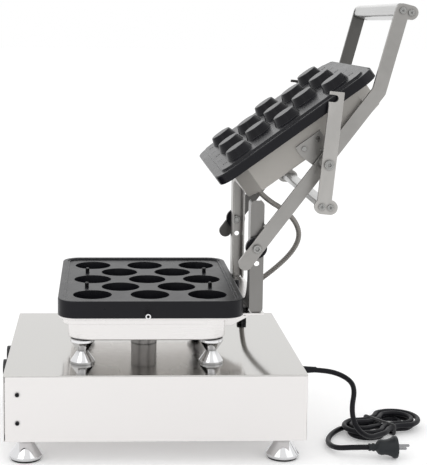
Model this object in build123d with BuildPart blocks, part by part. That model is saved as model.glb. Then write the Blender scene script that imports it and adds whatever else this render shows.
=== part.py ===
from build123d import *
import math
import os

os.makedirs("parts", exist_ok=True)

# All sizes are in millimetres. +Z is up, the operator stands on the -Y side and the
# machine is drawn with its head swung open. The origin is on the floor under its middle.

# Cabinet
base_width = 416.0
base_depth = 500.0
base_height = 112.0
base_centre_y = -78.6
base_sheet = 1.5
cover_thickness = 2.0
foot_height = 40.0
edge_round = 0.8
corner_round = 3.0
panel_flange = 30.0
cover_flange = 12.0
sheet_clearance = 0.3
panel_screw_inset = 23.2
panel_screw_drops = (32.0, 80.0)
panel_screw_head = 7.0
panel_screw_shank = 3.4
screw_clearance = 0.1

# Feet
foot_inset = 35.0
foot_disc = 56.0
foot_disc_height = 5.0
foot_neck = 16.0
foot_pad_height = 3.0
foot_pad_diameter = 50.0
foot_stud = 8.0
foot_stud_length = 14.0

# Controls on the front panel
knob_diameter = 38.0
knob_depth = 16.0
knob_waist = 32.0
knob_gap = 1.0
knob_height = 56.0
knob_xs = (-25.0, -115.0)
shaft_diameter = 6.0
dial_diameter = 58.0
dial_thickness = 0.8
thermostat_size = 44.0
thermostat_depth = 30.0
lamp_x = 45.0
lamp_diameter = 12.0
lamp_spacing = 26.0
rocker_x = 110.0
rocker_width = 24.0
rocker_height = 16.0
rocker_depth = 9.0
rocker_bezel = 4.0
rocker_travel_room = 1.2
rocker_pin = 3.0
running_clearance = 0.05
terminal_block_size = (80.0, 34.0, 26.0)

# Lower baking unit
unit_y = -86.0
housing_y = -91.0
spool_height = 41.5
spool_end = 41.0
spool_waist = 18.0
spool_lip = 4.0
spool_spacing_x = 262.0
spool_spacing_y = 218.0
spool_stud = 6.0
duct_diameter = 46.0
duct_wall = 2.0
housing_width = 292.0
housing_depth = 268.0
housing_corner = 37.0
upper_housing_cut = 25.0
housing_sheet = 1.5
lower_housing_height = 44.1
bench_plate_thickness = 3.0
bench_plate_inset = 2.0
bench_plate_front = 153.0
bench_plate_window = 240.0
bench_plate_corner = 28.0
bench_plate_back = 105.0
bench_lip = 9.0
bench_lip_inset = 7.0
bench_lip_open = 120.0
plate_width = 367.0
plate_depth = 310.0
plate_thickness = 28.8
plate_corner = 32.0
rim_width = 13.0
recess_depth = 3.0
step_width = 4.0
step_depth = 1.2
cavity_pitch_x = 120.3
cavity_pitch_y = 97.5
cavity_diameter = 66.0
cavity_floor_diameter = 61.0
cavity_depth = 22.0
pin_diameter = 7.0
pin_height = 8.0
pin_spacing_x = 120.0
pin_spacing_y = 215.0
pin_root = 6.0
catch_pin_diameter = 9.0
catch_pin_bore = 5.0
catch_pin_length = 16.0
catch_pin_height = 7.1
probe_diameter = 11.0
probe_height = 24.0
heater_thickness = 5.0
insulation_gap = 0.3
insulation_lift = 10.0
inner_gap = 4.0

# Posts behind the baking unit
post_width = 23.0
post_section = 30.0
post_wall = 3.0
post_inset = 38.5
post_centre_y = 91.0
post_height = 190.4
post_round = 8.0
post_hole = 9.0
post_hole_drop = 28.0
gusset_reach = 44.0
gusset_height = 58.0
post_bolt_head = 9.0
post_bolt_height = 6.5
post_bolt_shank = 5.0
bracket_depth = 56.0
bracket_drop = 32.0
bracket_thickness = 3.0

# Lever frame that carries the head
arm_pivot_y = 89.2
arm_pivot_z = 352.5
arm_open_angle = 53.2
arm_width = 23.0
arm_thickness = 6.0
arm_gap = 8.0
arm_tail = 31.5
arm_straight = 326.5
arm_top_length = 136.0
arm_top_angle = 75.4
handle_screw_pitch = 14.6
handle_screw_turn = 14.0
handle_bar_width = 36.0
handle_bar_thickness = 22.0
handle_bar_round = 7.0
handle_screw_head = 10.0
handle_screw_shank = 5.0
handle_screw_depth = 20.0
pivot_bolt = 8.0
pivot_bolt_head = 13.0
pivot_nut_width = 13.0
pivot_nut_height = 7.0
pivot_bolt_tail = 2.0
pivot_bolt_height = 5.0
pivot_bolt_socket = 3.0
pivot_boss = 36.0
face_clearance = 0.3
stop_tab_reach = 38.0
stop_tab_width = 5.0
stop_tab_height = 3.0

# Head
head_incline = 35.9
head_depth = 84.5
press_gap = 1.0
press_turn = 5.5
relief_gap = 1.0
slab_rise = 3.2
slab_clearance = 1.0
slab_chamfer = 2.0
upper_plate_thickness = 16.3
head_offset = 6.0
upper_housing_height = 50.0
punch_diameter = 49.0
punch_tip_diameter = 38.0
punch_length = 14.0
socket_clearance = 0.75
socket_depth = 10.0
lug_thickness = 4.0
lug_root_width = 50.0
lug_root_height = 46.0
lug_round = 16.0
lug_screw_pitch = 28.0
lug_screw_head = 8.0
lug_screw_shank = 4.0
lug_screw_h = 36.0
rivet_place = (8.0, 18.0)
rivet_diameter = 3.4
head_bolt = 10.0
head_bolt_head = 15.0
head_bolt_nut = 17.0
head_bolt_nut_height = 8.0
head_bush_wall = 3.0
mark_width = 1.6
mark_depth = 0.8
mark_long = 10.0
mark_spacing_y = 262.0
tongue_size = 9.0
tongue_spacing_y = 256.0
vent_diameter = 4.0

# Latch that pulls the head down onto the catch pins
lever_gap = 33.0
lever_thickness = 6.0
lever_width = 23.0
lever_lean = 5.2
lever_top = 11.0
slot_height = 12.0
slot_seat = 3.0
spacer_diameter = 20.0
latch_screw_drop = 69.0
latch_screw_front = 3.6
latch_screw_pitch = 14.0
latch_screw_head = 10.0
latch_screw_shank = 5.0
latch_bar_width = 26.0
latch_bar_thickness = 9.0
latch_bar_shift = 2.0

# Flexible metal conduit between the cabinet and the head
conduit_diameter = 10.0
conduit_rib = 0.9
conduit_bore = 7.0
conduit_rib_pitch = 4.0
conduit_top = (-45.0, -112.0)
conduit_foot = (-135.0, 102.0)
conduit_inside_head = 33.0
conduit_inside_base = 12.0
gland_diameter = 20.0
gland_height = 9.0
gland_clearance = 0.4

# Supply cord
cord_diameter = 9.0
cord_exit_x = 60.0
cord_exit_z = 116.0
cable_gland_length = 12.0
cable_gland_diameter = 20.0
hank_centre = (50.0, 331.0)
hank_angle = 126.0
hank_half_length = 40.0
hank_waist_depth = 12.0
hank_outer = 43.0
hank_pitch = 11.7
hank_layer_rise = 9.7
tie_thickness = 1.2
tie_width = 9.0
plug_x = 184.0
plug_rear_y = 280.0
plug_boot = 13.0
plug_boot_length = 14.0
plug_face = 38.0
plug_neck = 27.0
plug_length = 34.0
plug_pin_diameter = 4.8
plug_pin_length = 19.0
plug_pin_pitch = 19.0
plug_roll = 35.0

# Levels and places that follow from the sizes above
base_front_y = base_centre_y - base_depth / 2
base_back_y = base_centre_y + base_depth / 2
base_top_z = foot_height + base_height
shell_top_z = base_top_z - cover_thickness
housing_bottom_z = base_top_z + spool_height
bench_bottom_z = housing_bottom_z + lower_housing_height
plate_bottom_z = bench_bottom_z + bench_plate_thickness
rim_z = plate_bottom_z + plate_thickness
bench_plate_width = plate_width - 2 * bench_plate_inset
recess_z = rim_z - recess_depth
catch_pin_z = plate_bottom_z + catch_pin_height
closed_pivot_z = rim_z + press_gap + head_depth
closed_pivot_y = unit_y - head_offset
arm_reach = math.hypot(arm_pivot_y - closed_pivot_y, closed_pivot_z - arm_pivot_z)
head_pivot_y = arm_pivot_y + arm_reach * math.cos(math.radians(arm_open_angle))
head_pivot_z = arm_pivot_z + arm_reach * math.sin(math.radians(arm_open_angle))
post_outer_x = plate_width / 2 - post_inset
arm_inner_x = post_outer_x + arm_gap
arm_outer_x = arm_inner_x + arm_thickness
pivot_bolt_end_x = post_outer_x - post_wall - pivot_nut_height - pivot_bolt_tail
lever_inner_x = arm_outer_x + lever_gap
lever_outer_x = lever_inner_x + lever_thickness
plate_back_h = head_depth - upper_plate_thickness
housing_back_h = plate_back_h - upper_housing_height
hook_reach = closed_pivot_z - catch_pin_z
post_bolt_places = [
    (side * (post_outer_x - post_section / 2), post_centre_y - post_width / 2 - post_bolt_head * 0.6)
    for side in (1, -1)
]

SIDES = (("right", 1), ("left", -1))


def side_plane(x):
    """Plane parallel to YZ at x: its own x runs along +Y and its own y along +Z."""
    return Plane(origin=(x, 0, 0), x_dir=(0, 1, 0), z_dir=(1, 0, 0))


def back_plane(y):
    """Plane parallel to XZ at y that faces +Y: its own x runs along -X, its own y along +Z."""
    return Plane(origin=(0, y, 0), x_dir=(-1, 0, 0), z_dir=(0, 1, 0))


def front_plane(y):
    """Plane parallel to XZ at y that faces -Y: its own x runs along +X, its own y along +Z."""
    return Plane(origin=(0, y, 0), x_dir=(1, 0, 0), z_dir=(0, -1, 0))


def slanted(y, z, length, degrees):
    """The point at a distance and an angle from (y, z) in a side view."""
    turn = math.radians(degrees)
    return (y + length * math.cos(turn), z + length * math.sin(turn))


def upright_plane(x, y):
    """Vertical plane through (x, y) for turned profiles: its own y runs up."""
    return Plane(origin=(x, y, 0), x_dir=(1, 0, 0), z_dir=(0, -1, 0))


def upright_axis(x, y):
    """The vertical axis through (x, y)."""
    return Axis((x, y, 0), (0, 0, 1))


def cut_rectangle(width, depth, cut):
    """A rectangle with its four corners cut off, in the current sketch."""
    Polygon(
        (width / 2, cut - depth / 2),
        (width / 2, depth / 2 - cut),
        (width / 2 - cut, depth / 2),
        (cut - width / 2, depth / 2),
        (-width / 2, depth / 2 - cut),
        (-width / 2, cut - depth / 2),
        (cut - width / 2, -depth / 2),
        (width / 2 - cut, -depth / 2),
    )


def corners(cx, cy, pitch_x, pitch_y):
    """The four corners of a rectangle of pitches about (cx, cy)."""
    return [
        (cx + sx * pitch_x / 2, cy + sy * pitch_y / 2) for sx in (-1, 1) for sy in (-1, 1)
    ]


incline = math.radians(head_incline)
head_plane = Plane(
    origin=(0, head_pivot_y, head_pivot_z),
    x_dir=(1, 0, 0),
    z_dir=(0, -math.sin(incline), math.cos(incline)),
)


def head_point(x, y, h):
    """The point at x, y along the head and h above its pivot, in the machine's frame."""
    return head_plane.from_local_coords(Vector(x, y, h))


plate_plane = Plane(
    origin=head_point(0, -head_offset, 0), x_dir=head_plane.x_dir, z_dir=head_plane.z_dir
)
cavity_places = [
    (column * cavity_pitch_x, row * cavity_pitch_y)
    for column in (-1, 0, 1)
    for row in (-1, 0, 1)
]
cavity_places += [
    (column * cavity_pitch_x / 2, row * cavity_pitch_y / 2)
    for column in (-1, 1)
    for row in (-1, 1)
]


# Cabinet shell: two sides, back and an inward flange under the cover
with BuildPart() as base_shell:
    with BuildSketch(Plane.XY.offset(foot_height)):
        with Locations((0, base_centre_y)):
            RectangleRounded(base_width, base_depth, corner_round)
    extrude(amount=base_height - cover_thickness)
    top_rim = base_shell.faces().sort_by(Axis.Z)[-1].edges()
    fillet(top_rim, edge_round)
    with BuildSketch(Plane.XY.offset(foot_height)):
        with Locations((0, base_centre_y)):
            Rectangle(base_width - 2 * base_sheet, base_depth - 2 * base_sheet)
    extrude(
        amount=base_height - cover_thickness - base_sheet,
        mode=Mode.SUBTRACT,
    )
    with BuildSketch(Plane.XY.offset(shell_top_z - base_sheet)):
        with Locations((0, base_centre_y)):
            Rectangle(base_width - 2 * cover_flange, base_depth - 2 * cover_flange)
    extrude(amount=base_sheet, mode=Mode.SUBTRACT)
    with BuildSketch(Plane.XY.offset(foot_height)):
        with Locations((0, base_front_y + corner_round / 2)):
            Rectangle(base_width, corner_round)
    extrude(amount=base_height - cover_thickness, mode=Mode.SUBTRACT)
    with BuildSketch(back_plane(base_back_y)):
        with Locations((-cord_exit_x, cord_exit_z)):
            Circle(cord_diameter / 2 + 2)
    extrude(amount=-2 * base_sheet, mode=Mode.SUBTRACT)
    for drop in panel_screw_drops:
        with BuildSketch(side_plane(-base_width / 2)):
            with Locations((base_front_y + panel_screw_inset, base_top_z - drop)):
                Circle(panel_screw_shank / 2 + screw_clearance)
        extrude(amount=base_width, mode=Mode.SUBTRACT)
base_shell.part.label = "base_shell"
export_step(base_shell.part, "parts/base_shell.step")

# Front panel with its controls' cut-outs and two flanges bent back inside the shell
panel_edge = base_width / 2 - base_sheet - sheet_clearance
with BuildPart() as front_panel:
    with BuildSketch(front_plane(base_front_y + base_sheet)):
        with Locations((0, (foot_height + shell_top_z) / 2)):
            Rectangle(base_width, shell_top_z - foot_height)
    extrude(amount=base_sheet)
    fillet(front_panel.faces().sort_by(Axis.Y)[0].edges(), edge_round)
    for side in (1, -1):
        with BuildSketch(front_plane(base_front_y + base_sheet)):
            with Locations((side * (panel_edge - base_sheet / 2), base_top_z - base_height / 2)):
                Rectangle(base_sheet, base_height - 2 * cover_flange)
        extrude(amount=-panel_flange)
    for x in knob_xs:
        with BuildSketch(front_plane(base_front_y)):
            with Locations((x, foot_height + knob_height)):
                Circle(shaft_diameter / 2 + 1)
        extrude(amount=-base_sheet, mode=Mode.SUBTRACT)
    with BuildSketch(front_plane(base_front_y)):
        for level in (1, -1):
            with Locations((lamp_x, foot_height + knob_height + level * lamp_spacing / 2)):
                Circle(lamp_diameter / 2 - 1)
        with Locations((rocker_x, foot_height + knob_height)):
            Rectangle(
                rocker_width + rocker_bezel + sheet_clearance,
                rocker_height + rocker_bezel + sheet_clearance,
            )
    extrude(amount=-base_sheet, mode=Mode.SUBTRACT)
    for drop in panel_screw_drops:
        with BuildSketch(side_plane(-base_width / 2)):
            with Locations((base_front_y + panel_screw_inset, base_top_z - drop)):
                Circle(panel_screw_shank / 2 + screw_clearance)
        extrude(amount=base_width, mode=Mode.SUBTRACT)
front_panel.part.label = "front_panel"
export_step(front_panel.part, "parts/front_panel.step")

# Polished cover sheet
with BuildPart() as base_cover:
    with BuildSketch(Plane.XY.offset(shell_top_z)):
        with Locations((0, base_centre_y)):
            RectangleRounded(base_width, base_depth, corner_round)
    extrude(amount=cover_thickness)
    fillet(base_cover.faces().sort_by(Axis.Z)[-1].edges(), edge_round)
    with BuildSketch(Plane.XY.offset(base_top_z)):
        with Locations((0, housing_y)):
            Circle(duct_diameter / 2 - duct_wall)
            with GridLocations(spool_spacing_x, spool_spacing_y, 2, 2):
                Circle(spool_stud / 2 + screw_clearance)
        with Locations(conduit_foot):
            Circle(conduit_diameter / 2 + gland_clearance)
    extrude(amount=-cover_thickness, mode=Mode.SUBTRACT)
base_cover.part.label = "base_cover"
export_step(base_cover.part, "parts/base_cover.step")

# Bottom plate
with BuildPart() as base_bottom:
    with BuildSketch(Plane.XY.offset(foot_height)):
        with Locations((0, base_centre_y)):
            Rectangle(
                base_width - 2 * (base_sheet + sheet_clearance),
                base_depth - 2 * (base_sheet + sheet_clearance),
            )
            with GridLocations(
                base_width - 2 * foot_inset, base_depth - 2 * foot_inset, 2, 2
            ):
                Circle(foot_stud / 2 + screw_clearance, mode=Mode.SUBTRACT)
        for side in (1, -1):
            with Locations((side * panel_edge, base_front_y + base_sheet + panel_flange / 2)):
                Rectangle(
                    2 * (base_sheet + sheet_clearance),
                    panel_flange + 2,
                    mode=Mode.SUBTRACT,
                )
    extrude(amount=base_sheet)
base_bottom.part.label = "base_bottom"
export_step(base_bottom.part, "parts/base_bottom.step")

# Screws that hold the front panel's flanges to the shell's sides
with BuildPart() as panel_screws:
    for side in (1, -1):
        for drop in panel_screw_drops:
            with BuildSketch(side_plane(side * base_width / 2)):
                with Locations((base_front_y + panel_screw_inset, base_top_z - drop)):
                    Circle(panel_screw_head / 2)
            extrude(amount=side * 2.0)
            with BuildSketch(side_plane(side * base_width / 2)):
                with Locations((base_front_y + panel_screw_inset, base_top_z - drop)):
                    Circle(panel_screw_shank / 2)
            extrude(amount=-side * 8.0)
panel_screws.part.label = "panel_screws"
export_step(panel_screws.part, "parts/panel_screws.step")

# Feet: a turned cone on a disc, with a stud into the bottom plate and a nut inside
foot_places = corners(0, base_centre_y, base_width - 2 * foot_inset, base_depth - 2 * foot_inset)
with BuildPart() as feet:
    for x, y in foot_places:
        with BuildSketch(upright_plane(x, y)):
            with BuildLine():
                Polyline(
                    (0, foot_pad_height),
                    (foot_disc / 2 - 1, foot_pad_height),
                    (foot_disc / 2, foot_pad_height + 1),
                    (foot_disc / 2, foot_pad_height + foot_disc_height),
                    (foot_neck / 2 + 3, foot_height - 7),
                    (foot_neck / 2, foot_height - 5),
                    (foot_neck / 2, foot_height),
                    (foot_stud / 2, foot_height),
                    (foot_stud / 2, foot_height + foot_stud_length),
                    (0, foot_height + foot_stud_length),
                    close=True,
                )
            make_face()
        revolve(axis=upright_axis(x, y))
    with BuildSketch(Plane.XY.offset(foot_height + base_sheet)):
        with Locations(foot_places):
            RegularPolygon(foot_stud * 0.9, 6)
            Circle(foot_stud / 2 + running_clearance, mode=Mode.SUBTRACT)
    extrude(amount=foot_stud * 0.8)
feet.part.label = "feet"
export_step(feet.part, "parts/feet.step")

# Rubber pads under the feet
with BuildPart() as foot_pads:
    with BuildSketch():
        with Locations(foot_places):
            Circle(foot_pad_diameter / 2)
    extrude(amount=foot_pad_height)
foot_pads.part.label = "foot_pads"
export_step(foot_pads.part, "parts/foot_pads.step")

# Thermostats behind the panel, one for each baking plate
knob_z = foot_height + knob_height
thermostat_face_y = base_front_y + base_sheet
with BuildPart() as thermostats:
    for x in knob_xs:
        with BuildSketch(front_plane(thermostat_face_y)):
            with Locations((x, knob_z)):
                RectangleRounded(thermostat_size, thermostat_size, 4)
        extrude(amount=-thermostat_depth)
        with BuildSketch(front_plane(thermostat_face_y)):
            with Locations((x, knob_z)):
                Circle(shaft_diameter / 2 + running_clearance)
        extrude(amount=-thermostat_depth / 2, mode=Mode.SUBTRACT)
thermostats.part.label = "thermostats"
export_step(thermostats.part, "parts/thermostats.step")

# Printed dial rings round the knobs
dial_face_y = base_front_y - dial_thickness
with BuildPart() as dial_rings:
    with BuildSketch(front_plane(base_front_y)):
        for x in knob_xs:
            with Locations((x, knob_z)):
                Circle(dial_diameter / 2)
                Circle(shaft_diameter / 2 + 1, mode=Mode.SUBTRACT)
    extrude(amount=dial_thickness)
dial_rings.part.label = "dial_rings"
export_step(dial_rings.part, "parts/dial_rings.step")

# Knobs and their shafts: each knob turns with its own shaft
knob_back_y = dial_face_y - knob_gap
for name, x in zip(("upper", "lower"), knob_xs):
    with BuildPart() as knob:
        with BuildSketch(front_plane(knob_back_y)):
            with Locations((x, knob_z)):
                Circle(knob_diameter / 2)
        extrude(amount=knob_depth * 0.4)
        with BuildSketch(front_plane(knob_back_y - knob_depth * 0.4)):
            with Locations((x, knob_z)):
                Circle(knob_waist / 2)
        extrude(amount=knob_depth * 0.6, taper=4)
        fillet(knob.faces().sort_by(Axis.Y)[0].edges(), 1.2)
        with BuildSketch(front_plane(knob_back_y - knob_depth)):
            with Locations((x, knob_z + knob_waist * 0.3)):
                Rectangle(1.6, knob_waist * 0.26)
        extrude(amount=-0.7, mode=Mode.SUBTRACT)
        with BuildSketch(front_plane(knob_back_y)):
            with Locations((x, knob_z)):
                Circle(shaft_diameter / 2)
        extrude(amount=knob_depth * 0.7, mode=Mode.SUBTRACT)
    knob.part.label = f"{name}_knob"
    export_step(knob.part, f"parts/{name}_knob.step")

    with BuildPart() as shaft:
        with BuildSketch(front_plane(knob_back_y - knob_depth * 0.7)):
            with Locations((x, knob_z)):
                Circle(shaft_diameter / 2)
        extrude(amount=-(thermostat_face_y + thermostat_depth / 2 - 1 - knob_back_y + knob_depth * 0.7))
    shaft.part.label = f"{name}_knob_shaft"
    export_step(shaft.part, f"parts/{name}_knob_shaft.step")

# Indicator lamps: a lens in front of the panel and a body behind it
with BuildPart() as indicator_lamps:
    for level in (1, -1):
        with BuildSketch(front_plane(base_front_y)):
            with Locations((lamp_x, knob_z + level * lamp_spacing / 2)):
                Circle(lamp_diameter / 2)
        extrude(amount=3, taper=12)
        with BuildSketch(front_plane(base_front_y)):
            with Locations((lamp_x, knob_z + level * lamp_spacing / 2)):
                Circle(lamp_diameter / 2 - 1 - screw_clearance)
        extrude(amount=-20)
indicator_lamps.part.label = "indicator_lamps"
export_step(indicator_lamps.part, "parts/indicator_lamps.step")

# Rocker switch: a bezelled housing and the rocker that tips in it
bezel_y = base_front_y - 1.5
rocker_axis_y = base_front_y + 1.0
rocker_housing_depth = 24.0
with BuildPart() as switch_housing:
    with BuildSketch(front_plane(base_front_y)):
        with Locations((rocker_x, knob_z)):
            RectangleRounded(
                rocker_width + 2 * rocker_bezel, rocker_height + 2 * rocker_bezel, 1.5
            )
    extrude(amount=1.5)
    with BuildSketch(front_plane(base_front_y)):
        with Locations((rocker_x, knob_z)):
            Rectangle(rocker_width + rocker_bezel, rocker_height + rocker_bezel)
    extrude(amount=-rocker_housing_depth)
    with BuildSketch(front_plane(bezel_y)):
        with Locations((rocker_x, knob_z)):
            Rectangle(rocker_width + 0.6, rocker_height + 2 * rocker_travel_room)
    extrude(amount=-(1.5 + rocker_depth), mode=Mode.SUBTRACT)
    with BuildSketch(side_plane(rocker_x - rocker_width / 2 - 1.5)):
        with Locations((rocker_axis_y, knob_z)):
            Circle(rocker_pin / 2 + running_clearance)
    extrude(amount=rocker_width + 3, mode=Mode.SUBTRACT)
switch_housing.part.label = "switch_housing"
export_step(switch_housing.part, "parts/switch_housing.step")

with BuildPart() as rocker:
    with BuildSketch(side_plane(rocker_x - rocker_width / 2)):
        with BuildLine():
            Polyline(
                (rocker_axis_y - 5.5, knob_z + rocker_height / 2),
                (rocker_axis_y + 2.0, knob_z + rocker_height / 2),
                (rocker_axis_y + 4.5, knob_z),
                (rocker_axis_y + 2.0, knob_z - rocker_height / 2),
                (rocker_axis_y - 5.5, knob_z - rocker_height / 2),
                (rocker_axis_y - 3.6, knob_z),
                close=True,
            )
        make_face()
    extrude(amount=rocker_width)
    with BuildSketch(side_plane(rocker_x - rocker_width / 2 - 1.2)):
        with Locations((rocker_axis_y, knob_z)):
            Circle(rocker_pin / 2)
    extrude(amount=rocker_width + 2.4)
rocker.part.label = "rocker"
export_step(rocker.part, "parts/rocker.step")

# Terminal block on the bottom plate
with BuildPart() as terminal_block:
    with Locations((cord_exit_x, base_back_y - 70, foot_height + base_sheet)):
        Box(*terminal_block_size, align=(Align.CENTER, Align.CENTER, Align.MIN))
    with BuildSketch(Plane.XY.offset(foot_height + base_sheet + terminal_block_size[2])):
        with Locations((cord_exit_x, base_back_y - 70)):
            with GridLocations(15, 18, 5, 2):
                Circle(3)
    extrude(amount=-10, mode=Mode.SUBTRACT)
terminal_block.part.label = "terminal_block"
export_step(terminal_block.part, "parts/terminal_block.step")

# Hourglass spools that carry the lower unit above the cabinet
spool_places = corners(0, housing_y, spool_spacing_x, spool_spacing_y)
with BuildPart() as support_spools:
    for x, y in spool_places:
        with BuildSketch(upright_plane(x, y)):
            with BuildLine():
                Polyline(
                    (spool_stud / 2, base_top_z - 8),
                    (spool_stud / 2, base_top_z),
                    (spool_end / 2, base_top_z),
                    (spool_end / 2, base_top_z + spool_lip),
                    (spool_waist / 2, base_top_z + spool_height / 2),
                    (spool_end / 2, housing_bottom_z - spool_lip),
                    (spool_end / 2, housing_bottom_z),
                    (spool_stud / 2, housing_bottom_z),
                    (spool_stud / 2, housing_bottom_z + 8),
                    (0, housing_bottom_z + 8),
                    (0, base_top_z - 8),
                    (spool_stud / 2, base_top_z - 8),
                )
            make_face()
        revolve(axis=upright_axis(x, y))
support_spools.part.label = "support_spools"
export_step(support_spools.part, "parts/support_spools.step")

# Tube that leads the wires up from the cabinet
with BuildPart() as wire_duct:
    with BuildSketch(Plane.XY.offset(base_top_z)):
        with Locations((0, housing_y)):
            Circle(duct_diameter / 2)
            Circle(duct_diameter / 2 - duct_wall, mode=Mode.SUBTRACT)
    extrude(amount=spool_height)
wire_duct.part.label = "wire_duct"
export_step(wire_duct.part, "parts/wire_duct.step")

# Lower housing: a pan, open at the top
inner_corner = housing_corner - housing_sheet
with BuildPart() as lower_housing:
    with BuildSketch(Plane.XY.offset(housing_bottom_z)):
        with Locations((0, housing_y)):
            RectangleRounded(housing_width, housing_depth, housing_corner)
    extrude(amount=lower_housing_height)
    fillet(lower_housing.faces().sort_by(Axis.Z)[0].edges(), 2.5)
    with BuildSketch(Plane.XY.offset(housing_bottom_z + housing_sheet)):
        with Locations((0, housing_y)):
            RectangleRounded(
                housing_width - 2 * housing_sheet,
                housing_depth - 2 * housing_sheet,
                inner_corner,
            )
    extrude(amount=lower_housing_height - housing_sheet, mode=Mode.SUBTRACT)
    with BuildSketch(Plane.XY.offset(housing_bottom_z)):
        with Locations((0, housing_y)):
            Circle(duct_diameter / 2 - duct_wall)
        with Locations(spool_places):
            Circle(spool_stud / 2 + screw_clearance)
    extrude(amount=housing_sheet, mode=Mode.SUBTRACT)
lower_housing.part.label = "lower_housing"
export_step(lower_housing.part, "parts/lower_housing.step")

# Insulation and heater inside the lower housing
with BuildPart() as lower_insulation:
    with BuildSketch(Plane.XY.offset(housing_bottom_z + housing_sheet + insulation_lift)):
        with Locations((0, housing_y)):
            RectangleRounded(
                housing_width - 2 * housing_sheet - 2 * inner_gap,
                housing_depth - 2 * housing_sheet - 2 * inner_gap,
                inner_corner - inner_gap,
            )
            Circle(duct_diameter / 2, mode=Mode.SUBTRACT)
    extrude(
        amount=lower_housing_height - housing_sheet - insulation_lift - heater_thickness
        - insulation_gap + bench_plate_thickness
    )
    with BuildSketch(Plane.XY.offset(bench_bottom_z)):
        with Locations((0, housing_y)):
            Rectangle(bench_plate_width, bench_plate_front * 2)
            Rectangle(bench_plate_window - 1, bench_plate_window - 1, mode=Mode.SUBTRACT)
    extrude(amount=bench_plate_thickness, mode=Mode.SUBTRACT)
lower_insulation.part.label = "lower_insulation"
export_step(lower_insulation.part, "parts/lower_insulation.step")

with BuildPart() as lower_heater:
    with BuildSketch(Plane.XY.offset(plate_bottom_z - heater_thickness)):
        with Locations((0, housing_y)):
            RectangleRounded(bench_plate_window - 4, bench_plate_window - 4, 6)
    extrude(amount=heater_thickness)
lower_heater.part.label = "lower_heater"
export_step(lower_heater.part, "parts/lower_heater.step")

# Plate under the casting, with a lip round its front and sides: it rests on the housing and
# runs back under the posts
with BuildPart() as bench_plate:
    with BuildSketch(Plane.XY.offset(bench_bottom_z)):
        with Locations((0, unit_y)):
            RectangleRounded(bench_plate_width, 2 * bench_plate_front, bench_plate_corner)
        with BuildLine():
            Polyline(
                (-post_outer_x - 4, unit_y),
                (post_outer_x + 4, unit_y),
                (post_outer_x + 4, bench_plate_back),
                (-post_outer_x - 4, bench_plate_back),
                close=True,
            )
        make_face()
        with Locations((0, housing_y)):
            Rectangle(bench_plate_window, bench_plate_window, mode=Mode.SUBTRACT)
        with Locations(post_bolt_places):
            Circle(post_bolt_shank / 2 + running_clearance, mode=Mode.SUBTRACT)
    extrude(amount=bench_plate_thickness)
    with BuildSketch(Plane.XY.offset(bench_bottom_z - bench_lip)):
        with Locations((0, unit_y)):
            RectangleRounded(
                bench_plate_width - 2 * bench_lip_inset,
                2 * (bench_plate_front - bench_lip_inset),
                bench_plate_corner - bench_lip_inset,
            )
            RectangleRounded(
                bench_plate_width - 2 * (bench_lip_inset + housing_sheet),
                2 * (bench_plate_front - bench_lip_inset - housing_sheet),
                bench_plate_corner - bench_lip_inset - housing_sheet,
                mode=Mode.SUBTRACT,
            )
        with Locations((0, unit_y + bench_plate_front)):
            Rectangle(bench_plate_width, bench_lip_open, mode=Mode.SUBTRACT)
    extrude(amount=bench_lip)
bench_plate.part.label = "bench_plate"
export_step(bench_plate.part, "parts/bench_plate.step")

# Brackets that carry the plate's back edge from the housing's back wall
housing_back_y = housing_y + housing_depth / 2
with BuildPart() as rear_brackets:
    for side in (1, -1):
        with BuildSketch(side_plane(side * 95 - bracket_thickness / 2)):
            with BuildLine():
                Polyline(
                    (housing_back_y, bench_bottom_z),
                    (housing_back_y + bracket_depth, bench_bottom_z),
                    (housing_back_y + bracket_depth, bench_bottom_z - 8),
                    (housing_back_y + 12, bench_bottom_z - bracket_drop),
                    (housing_back_y, bench_bottom_z - bracket_drop),
                    close=True,
                )
            make_face()
        extrude(amount=bracket_thickness)
rear_brackets.part.label = "rear_brackets"
export_step(rear_brackets.part, "parts/rear_brackets.step")

# Lower baking plate with its cavities
with BuildPart() as lower_plate:
    with BuildSketch(Plane.XY.offset(plate_bottom_z)):
        with Locations((0, unit_y)):
            RectangleRounded(plate_width, plate_depth, plate_corner)
    extrude(amount=plate_thickness)
    with BuildSketch(Plane.XY.offset(rim_z - recess_depth)):
        with Locations((0, unit_y)):
            RectangleRounded(
                plate_width - 2 * rim_width, plate_depth - 2 * rim_width, plate_corner - rim_width
            )
    extrude(amount=recess_depth, mode=Mode.SUBTRACT)
    with BuildSketch(Plane.XY.offset(rim_z - step_depth)):
        with Locations((0, unit_y)):
            RectangleRounded(
                plate_width - 2 * (rim_width - step_width),
                plate_depth - 2 * (rim_width - step_width),
                plate_corner - rim_width + step_width,
            )
    extrude(amount=step_depth, mode=Mode.SUBTRACT)
    outer_edges = lower_plate.faces().sort_by(Axis.Z)[-1].outer_wire().edges()
    fillet(outer_edges, 2.0)
    fillet(lower_plate.faces().sort_by(Axis.Z)[0].edges(), 1.5)
    cavity_taper = math.degrees(
        math.atan((cavity_diameter - cavity_floor_diameter) / 2 / cavity_depth)
    )
    with BuildSketch(Plane.XY.offset(recess_z)):
        with Locations((0, unit_y)):
            with Locations(cavity_places):
                Circle(cavity_diameter / 2)
    extrude(amount=-cavity_depth, taper=cavity_taper, mode=Mode.SUBTRACT)
    floors = lower_plate.faces().filter_by(Plane.XY).group_by(Axis.Z)[1]
    fillet(floors.edges(), 2.5)
    with BuildSketch(Plane.XY.offset(recess_z)):
        with Locations((0, unit_y)):
            with GridLocations(pin_spacing_x, pin_spacing_y, 2, 2):
                Circle(pin_diameter / 2)
    extrude(amount=-pin_root, mode=Mode.SUBTRACT)
lower_plate.part.label = "lower_plate"
export_step(lower_plate.part, "parts/lower_plate.step")

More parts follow.
